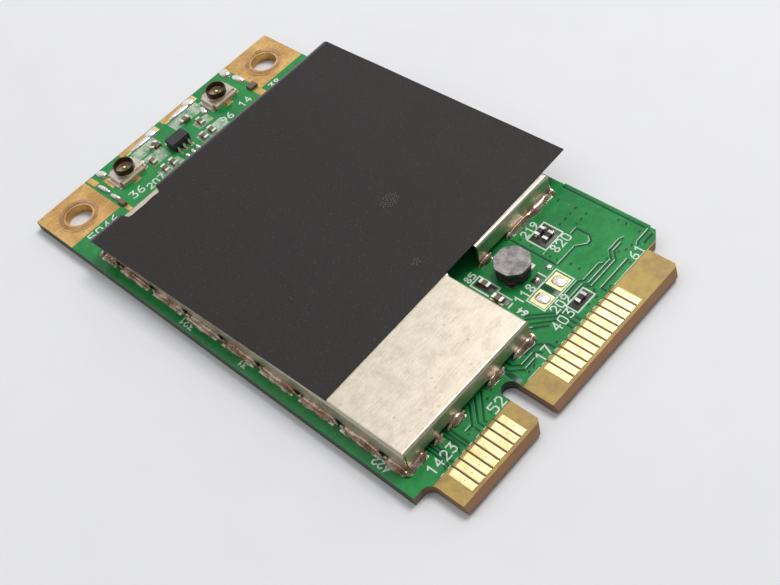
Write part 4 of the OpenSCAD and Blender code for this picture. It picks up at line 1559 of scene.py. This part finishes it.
@dataclass
class SmallParts:
    """Switch chip, chip parts, and the solder and stains round them.

    "stains" holds stained areas as left, front, right and back, in millimetres.
    """

    edge: float = 0.04 * MM
    stains: ClassVar[tuple[Area, ...]] = (
        (23.52, 10.04, 25.54, 11.72), (19.94, 4.13, 21.86, 5.02), (17.28, 10.75, 18.12, 12.5),
        (17.15, 9.0, 17.72, 10.4), (20.08, 8.18, 21.0, 8.98),
    )

    def build(self) -> None:
        """Dresses the parts, rounds their edges and builds stains and solder."""
        bodies, ends = ("resistor_bodies", "capacitor_bodies"), ("resistor_ends", "capacitor_ends")
        dress(Palette.RESIN, "rf_switch_body")
        dress(Palette.RESISTOR, "resistor_bodies")
        dress(Palette.CAPACITOR, "capacitor_bodies")
        dress(Palette.SOLDER, "rf_switch_leads", "inductor_terminals", *ends)
        round_edges(5.0 * self.edge, "rf_switch_body", segments=4)
        round_edges(self.edge, *bodies, *ends, segments=3)
        round_edges(0.5 * self.edge, "rf_switch_leads")
        former = Former()
        CARD.plates(former, self.stains, 0.012 * MM, 0.006 * MM)
        former.finish("flux_stains", Palette.STAIN)
        self.solder()

    def solder(self) -> None:
        """Builds the solder that stands on the large and the round pads."""
        former = Former()
        for x, y, rx, ry, high, square in (
            (19.38, 7.1, 0.5, 0.62, 0.12, 3.4), (21.45, 7.05, 0.5, 0.62, 0.12, 3.4),
            (20.55, 8.58, 0.27, 0.27, 0.2, 2.0), (22.12, 8.58, 0.3, 0.3, 0.2, 2.0),
            (24.12, 11.38, 0.24, 0.2, 0.3, 2.0), (25.05, 11.35, 0.26, 0.24, 0.3, 2.0),
            (24.2, 10.55, 0.2, 0.2, 0.26, 2.0), (25.1, 10.5, 0.26, 0.22, 0.3, 2.0),
        ):
            centre = Vector((*CARD.at(x, y), CARD.top))
            former.dome(centre, rx * MM, ry * MM, high * MM, square=square)
        solder = former.finish("standing_solder", Palette.SOLDER, smooth=60.0)
        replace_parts(solder, "solder_joints")


@dataclass
class Coil:
    """The shielded coil: a grey ferrite cap on black sides that are waisted round the winding.

    "sides" and "cap" hold the share of the outline and of the height at each level.
    """

    half: float = 1.5 * MM
    cut: float = 1.42
    soft: float = 22.0
    around: int = 96
    sides: ClassVar[tuple[Point, ...]] = (
        (0.86, 0.0), (0.93, 0.05), (0.96, 0.14), (0.955, 0.3), (0.90, 0.36), (0.885, 0.46),
        (0.89, 0.6), (0.91, 0.66), (0.98, 0.71), (1.0, 0.8), (1.0, 0.965),
    )
    cap: ClassVar[tuple[Point, ...]] = (
        (1.0, 0.965), (0.992, 0.985), (0.97, 0.998), (0.94, 1.0), (0.6, 0.996), (0.2, 0.994),
    )

    def build(self) -> None:
        """Builds the sides and the cap."""
        low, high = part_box("inductor_core")
        self.foot = Vector(((low.x + high.x) / 2, (low.y + high.y) / 2, low.z))
        self.tall = high.z - low.z
        body = self.turned(self.sides, "coil_body", Palette.FERRITE_SIDE)
        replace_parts(body, "inductor_core", "inductor_winding")
        self.turned(self.cap, "coil_cap", Palette.FERRITE)

    def turned(self, profile: Sequence[Point], name: str, palette: Palette) -> bpy.types.Object:
        """Builds a body whose outline scales with height.

        Args:
            profile: Share of the outline and share of the height of each row.
            name: The piece's name.
            palette: Its finish.

        Returns:
            The new object.
        """
        former = Former()
        rows = []
        for share, level in profile:
            lift = Vector((0.0, 0.0, self.tall * level))
            rows.append([self.foot + lift + self.outline(i, share) for i in range(self.around)])
        former.loft(rows, closed=True, caps=True)
        return former.finish(name, palette, smooth=35.0)

    def outline(self, step: int, share: float) -> Vector:
        """Returns a point of the outline, a square with cut and softened corners.

        Args:
            step: Which point.
            share: Size of the outline against the whole.

        Returns:
            The point from the middle of the coil.
        """
        angle = 2 * math.pi * step / self.around
        c, s = abs(math.cos(angle)), abs(math.sin(angle))
        n = self.soft
        reach = (c**n + s**n + ((c + s) / self.cut) ** n) ** (-1.0 / n)
        flat = Vector((math.cos(angle), math.sin(angle), 0.0))
        return flat * self.half * share * reach


@dataclass
class AntennaEnd:
    """What lies round the sockets: tinned patches, ground strips, solder and chip parts.

    "patches", "copper" and "chips" hold areas as left, front, right and back. "beads" holds each
    solder bead's middle, half sizes, height and turn. All are in millimetres and degrees.
    """

    patches: ClassVar[tuple[Area, ...]] = (
        (10.75, 48.45, 13.55, 49.8), (10.95, 46.5, 13.2, 48.2), (15.5, 48.3, 19.2, 49.8),
        (16.9, 46.4, 18.7, 47.6), (15.9, 44.55, 19.2, 45.95), (10.7, 44.4, 13.3, 45.7),
    )
    copper: ClassVar[tuple[Area, ...]] = (
        (6.0, 49.6, 6.62, 50.85), (6.0, 44.2, 6.45, 45.05), (23.45, 44.45, 24.25, 45.8),
        (10.0, 50.25, 14.35, 50.88), (15.35, 50.25, 19.5, 50.88), (6.95, 47.9, 7.5, 49.5),
    )
    chips: ClassVar[tuple[Area, ...]] = (
        (6.02, 45.1, 6.5, 45.92), (23.45, 45.95, 24.35, 46.7), (16.6, 48.3, 17.35, 48.95),
        (12.75, 48.1, 13.35, 48.85),
    )
    beads: ClassVar[tuple[tuple[float, ...], ...]] = (
        (6.36, 48.5, 0.25, 0.95, 0.3, 4), (6.36, 46.7, 0.27, 0.68, 0.32, 6),
        (7.45, 50.25, 0.4, 0.62, 0.3, 12), (23.7, 50.2, 0.5, 0.7, 0.34, -10),
        (23.88, 48.4, 0.36, 0.85, 0.3, 8), (12.75, 50.14, 1.75, 0.3, 0.16, 0),
        (13.75, 50.3, 0.62, 0.5, 0.26, 0), (17.75, 50.16, 1.75, 0.32, 0.18, 0),
        (18.75, 50.3, 0.65, 0.52, 0.26, -8), (18.9, 48.1, 0.32, 0.6, 0.24, -20),
        (10.75, 47.95, 0.25, 0.3, 0.24, 30), (13.9, 44.8, 0.2, 0.42, 0.22, -6),
        (14.55, 44.75, 0.2, 0.42, 0.22, 0), (15.2, 44.8, 0.2, 0.42, 0.22, 6),
        (11.45, 45.75, 0.28, 0.2, 0.3, 0), (12.45, 45.6, 0.28, 0.2, 0.3, 0),
        (16.45, 45.7, 0.28, 0.2, 0.3, 0), (17.45, 45.65, 0.28, 0.2, 0.3, 0),
    )

    def build(self) -> None:
        """Builds each kind of detail as one piece."""
        for name, areas, height, edge, palette in (
            ("tinned_patches", self.patches, 0.014, 0.0056, Palette.PALE_LACQUER),
            ("bare_strips", self.copper, 0.022, 0.0088, Palette.LAND),
            ("matching_parts", self.chips, 0.3, 0.06, Palette.CAPACITOR),
        ):
            former = Former()
            CARD.plates(former, areas, height * MM, edge * MM)
            former.finish(name, palette)
        former = Former()
        for x, y, rx, ry, high, turn in self.beads:
            centre = Vector((*CARD.at(x, y), CARD.top))
            former.dome(centre, rx * MM, ry * MM, high * MM, square=2.4, turn=math.radians(turn))
        former.finish("edge_solder", Palette.SOLDER, smooth=60.0)


@dataclass
class HiddenParts:
    """The parts under the can, which only the gaps between its feet let in light on."""

    def build(self) -> None:
        """Dresses the hidden parts."""
        dress(
            Palette.RESIN, "processor", "radio_chip", "power_amp_left", "power_amp_right",
            "flash_memory", "power_manager",
        )
        dress(Palette.CRYSTAL, "crystal")
        dress(Palette.CAPACITOR, "hidden_capacitor_bodies")
        dress(Palette.SOLDER, "hidden_capacitor_ends")


# ---------------------------------------------------------------------------
# Studio
# ---------------------------------------------------------------------------


@dataclass
class Studio:
    """Pale floor, soft lights and the camera."""

    camera_place: tuple[float, float, float] = (-35.86 * MM, -56.33 * MM, 73.65 * MM)
    azimuth: float = math.radians(-34.75)
    elevation: float = math.radians(50.88)
    roll: float = math.radians(16.47)
    focal_share: float = 1.4723077
    sensor: float = 36.0
    floor_size: float = 8.0
    floor_gap: float = 0.01 * MM
    bright_side: tuple[float, float, float] = (0.5, 0.75, 0.43)
    surround: tuple[float, float] = (0.21, 0.95)

    def build(self) -> None:
        """Builds the studio."""
        scene = bpy.context.scene
        scene.view_settings.view_transform = "Standard"
        scene.view_settings.look = "None"
        self.world(scene)
        self.floor()
        self.lamp("key", (0.25, 0.0, 0.43), 0.2, 1.25)
        self.camera(scene)

    def world(self, scene: bpy.types.Scene) -> None:
        """Fills the surroundings with pale light, brightest behind the card's right side.

        Args:
            scene: The scene.
        """
        world = bpy.data.worlds.new("studio")
        world.use_nodes = True
        graph = Graph(world.node_tree)
        ground = graph.node("ShaderNodeBackground")
        ground.inputs["Color"].default_value = (0.98, 0.985, 1.0, 1.0)
        along = graph.node("ShaderNodeVectorMath", operation="DOT_PRODUCT")
        graph.feed(along.inputs[0], graph.node("ShaderNodeTexCoord").outputs["Generated"])
        along.inputs[1].default_value = Vector(self.bright_side).normalized()
        share = graph.ramp(along.outputs["Value"], -0.35, 0.95)
        low, high = self.surround
        graph.feed(ground.inputs["Strength"], graph.math("MULTIPLY_ADD", share, high - low, low))
        out = graph.node("ShaderNodeOutputWorld")
        graph.feed(out.inputs["Surface"], ground.outputs[0])
        scene.world = world

    def floor(self) -> None:
        """Lays a pale matt floor under the card."""
        bm = bmesh.new()
        half = self.floor_size / 2
        z = CAD_BOX[0][2] - self.floor_gap
        bm.faces.new([bm.verts.new((*point, z)) for point in rectangle(-half, -half, half, half)])
        mesh = bpy.data.meshes.new("floor")
        bm.to_mesh(mesh)
        bm.free()
        made = bpy.data.materials.new("floor_paper")
        graph, shader = Graph.surface(made)
        shader.inputs["Roughness"].default_value = 0.85
        shader.inputs["Specular IOR Level"].default_value = 0.2
        low, high = (0.80, 0.80, 0.81), (0.82, 0.82, 0.83)
        clouds = graph.use(Effects.mottle(), Scale=30.0, Low=low, High=high)
        graph.feed(shader.inputs["Base Color"], clouds["Color"])
        mesh.materials.append(made)
        add("floor", mesh)

    def lamp(self, name: str, place: tuple[float, float, float], size: float, power: float) -> None:
        """Adds a square soft light that faces the card.

        Args:
            name: The light's name.
            place: Where it stands.
            size: Side of the light.
            power: Its power in watts.
        """
        data = bpy.data.lights.new(name, "AREA")
        data.shape = "SQUARE"
        data.size = size
        data.energy = power
        lamp = add(name, data)
        lamp.location = place
        lamp.rotation_euler = (-Vector(place)).to_track_quat("-Z", "Y").to_euler()

    def camera(self, scene: bpy.types.Scene) -> None:
        """Adds the camera.

        Args:
            scene: The scene.
        """
        a, e = self.azimuth, self.elevation
        back = Vector((math.sin(a) * math.cos(e), -math.cos(a) * math.cos(e), math.sin(e)))
        level = (-back).cross(Vector((0, 0, 1))).normalized()
        down = (-back).cross(level)
        right = level * math.cos(self.roll) + down * math.sin(self.roll)
        up = back.cross(right)
        turn = Matrix((right, up, back)).transposed().to_4x4()
        data = bpy.data.cameras.new("camera")
        data.sensor_width = self.sensor
        data.lens = self.focal_share * self.sensor
        data.clip_start = 0.001
        camera = add("camera", data)
        camera.matrix_world = Matrix.Translation(Vector(self.camera_place)) @ turn
        scene.camera = camera


def main() -> None:
    """Builds the module and its studio."""
    logging.basicConfig(level=logging.INFO, format="%(message)s")
    for part in (
        CARD, Tracks(), Print(), ShieldCan(), Film(), Sockets(), SmallParts(), Coil(), AntennaEnd(),
        HiddenParts(), Studio(),
    ):
        part.build()


if __name__ == "__main__":
    main()
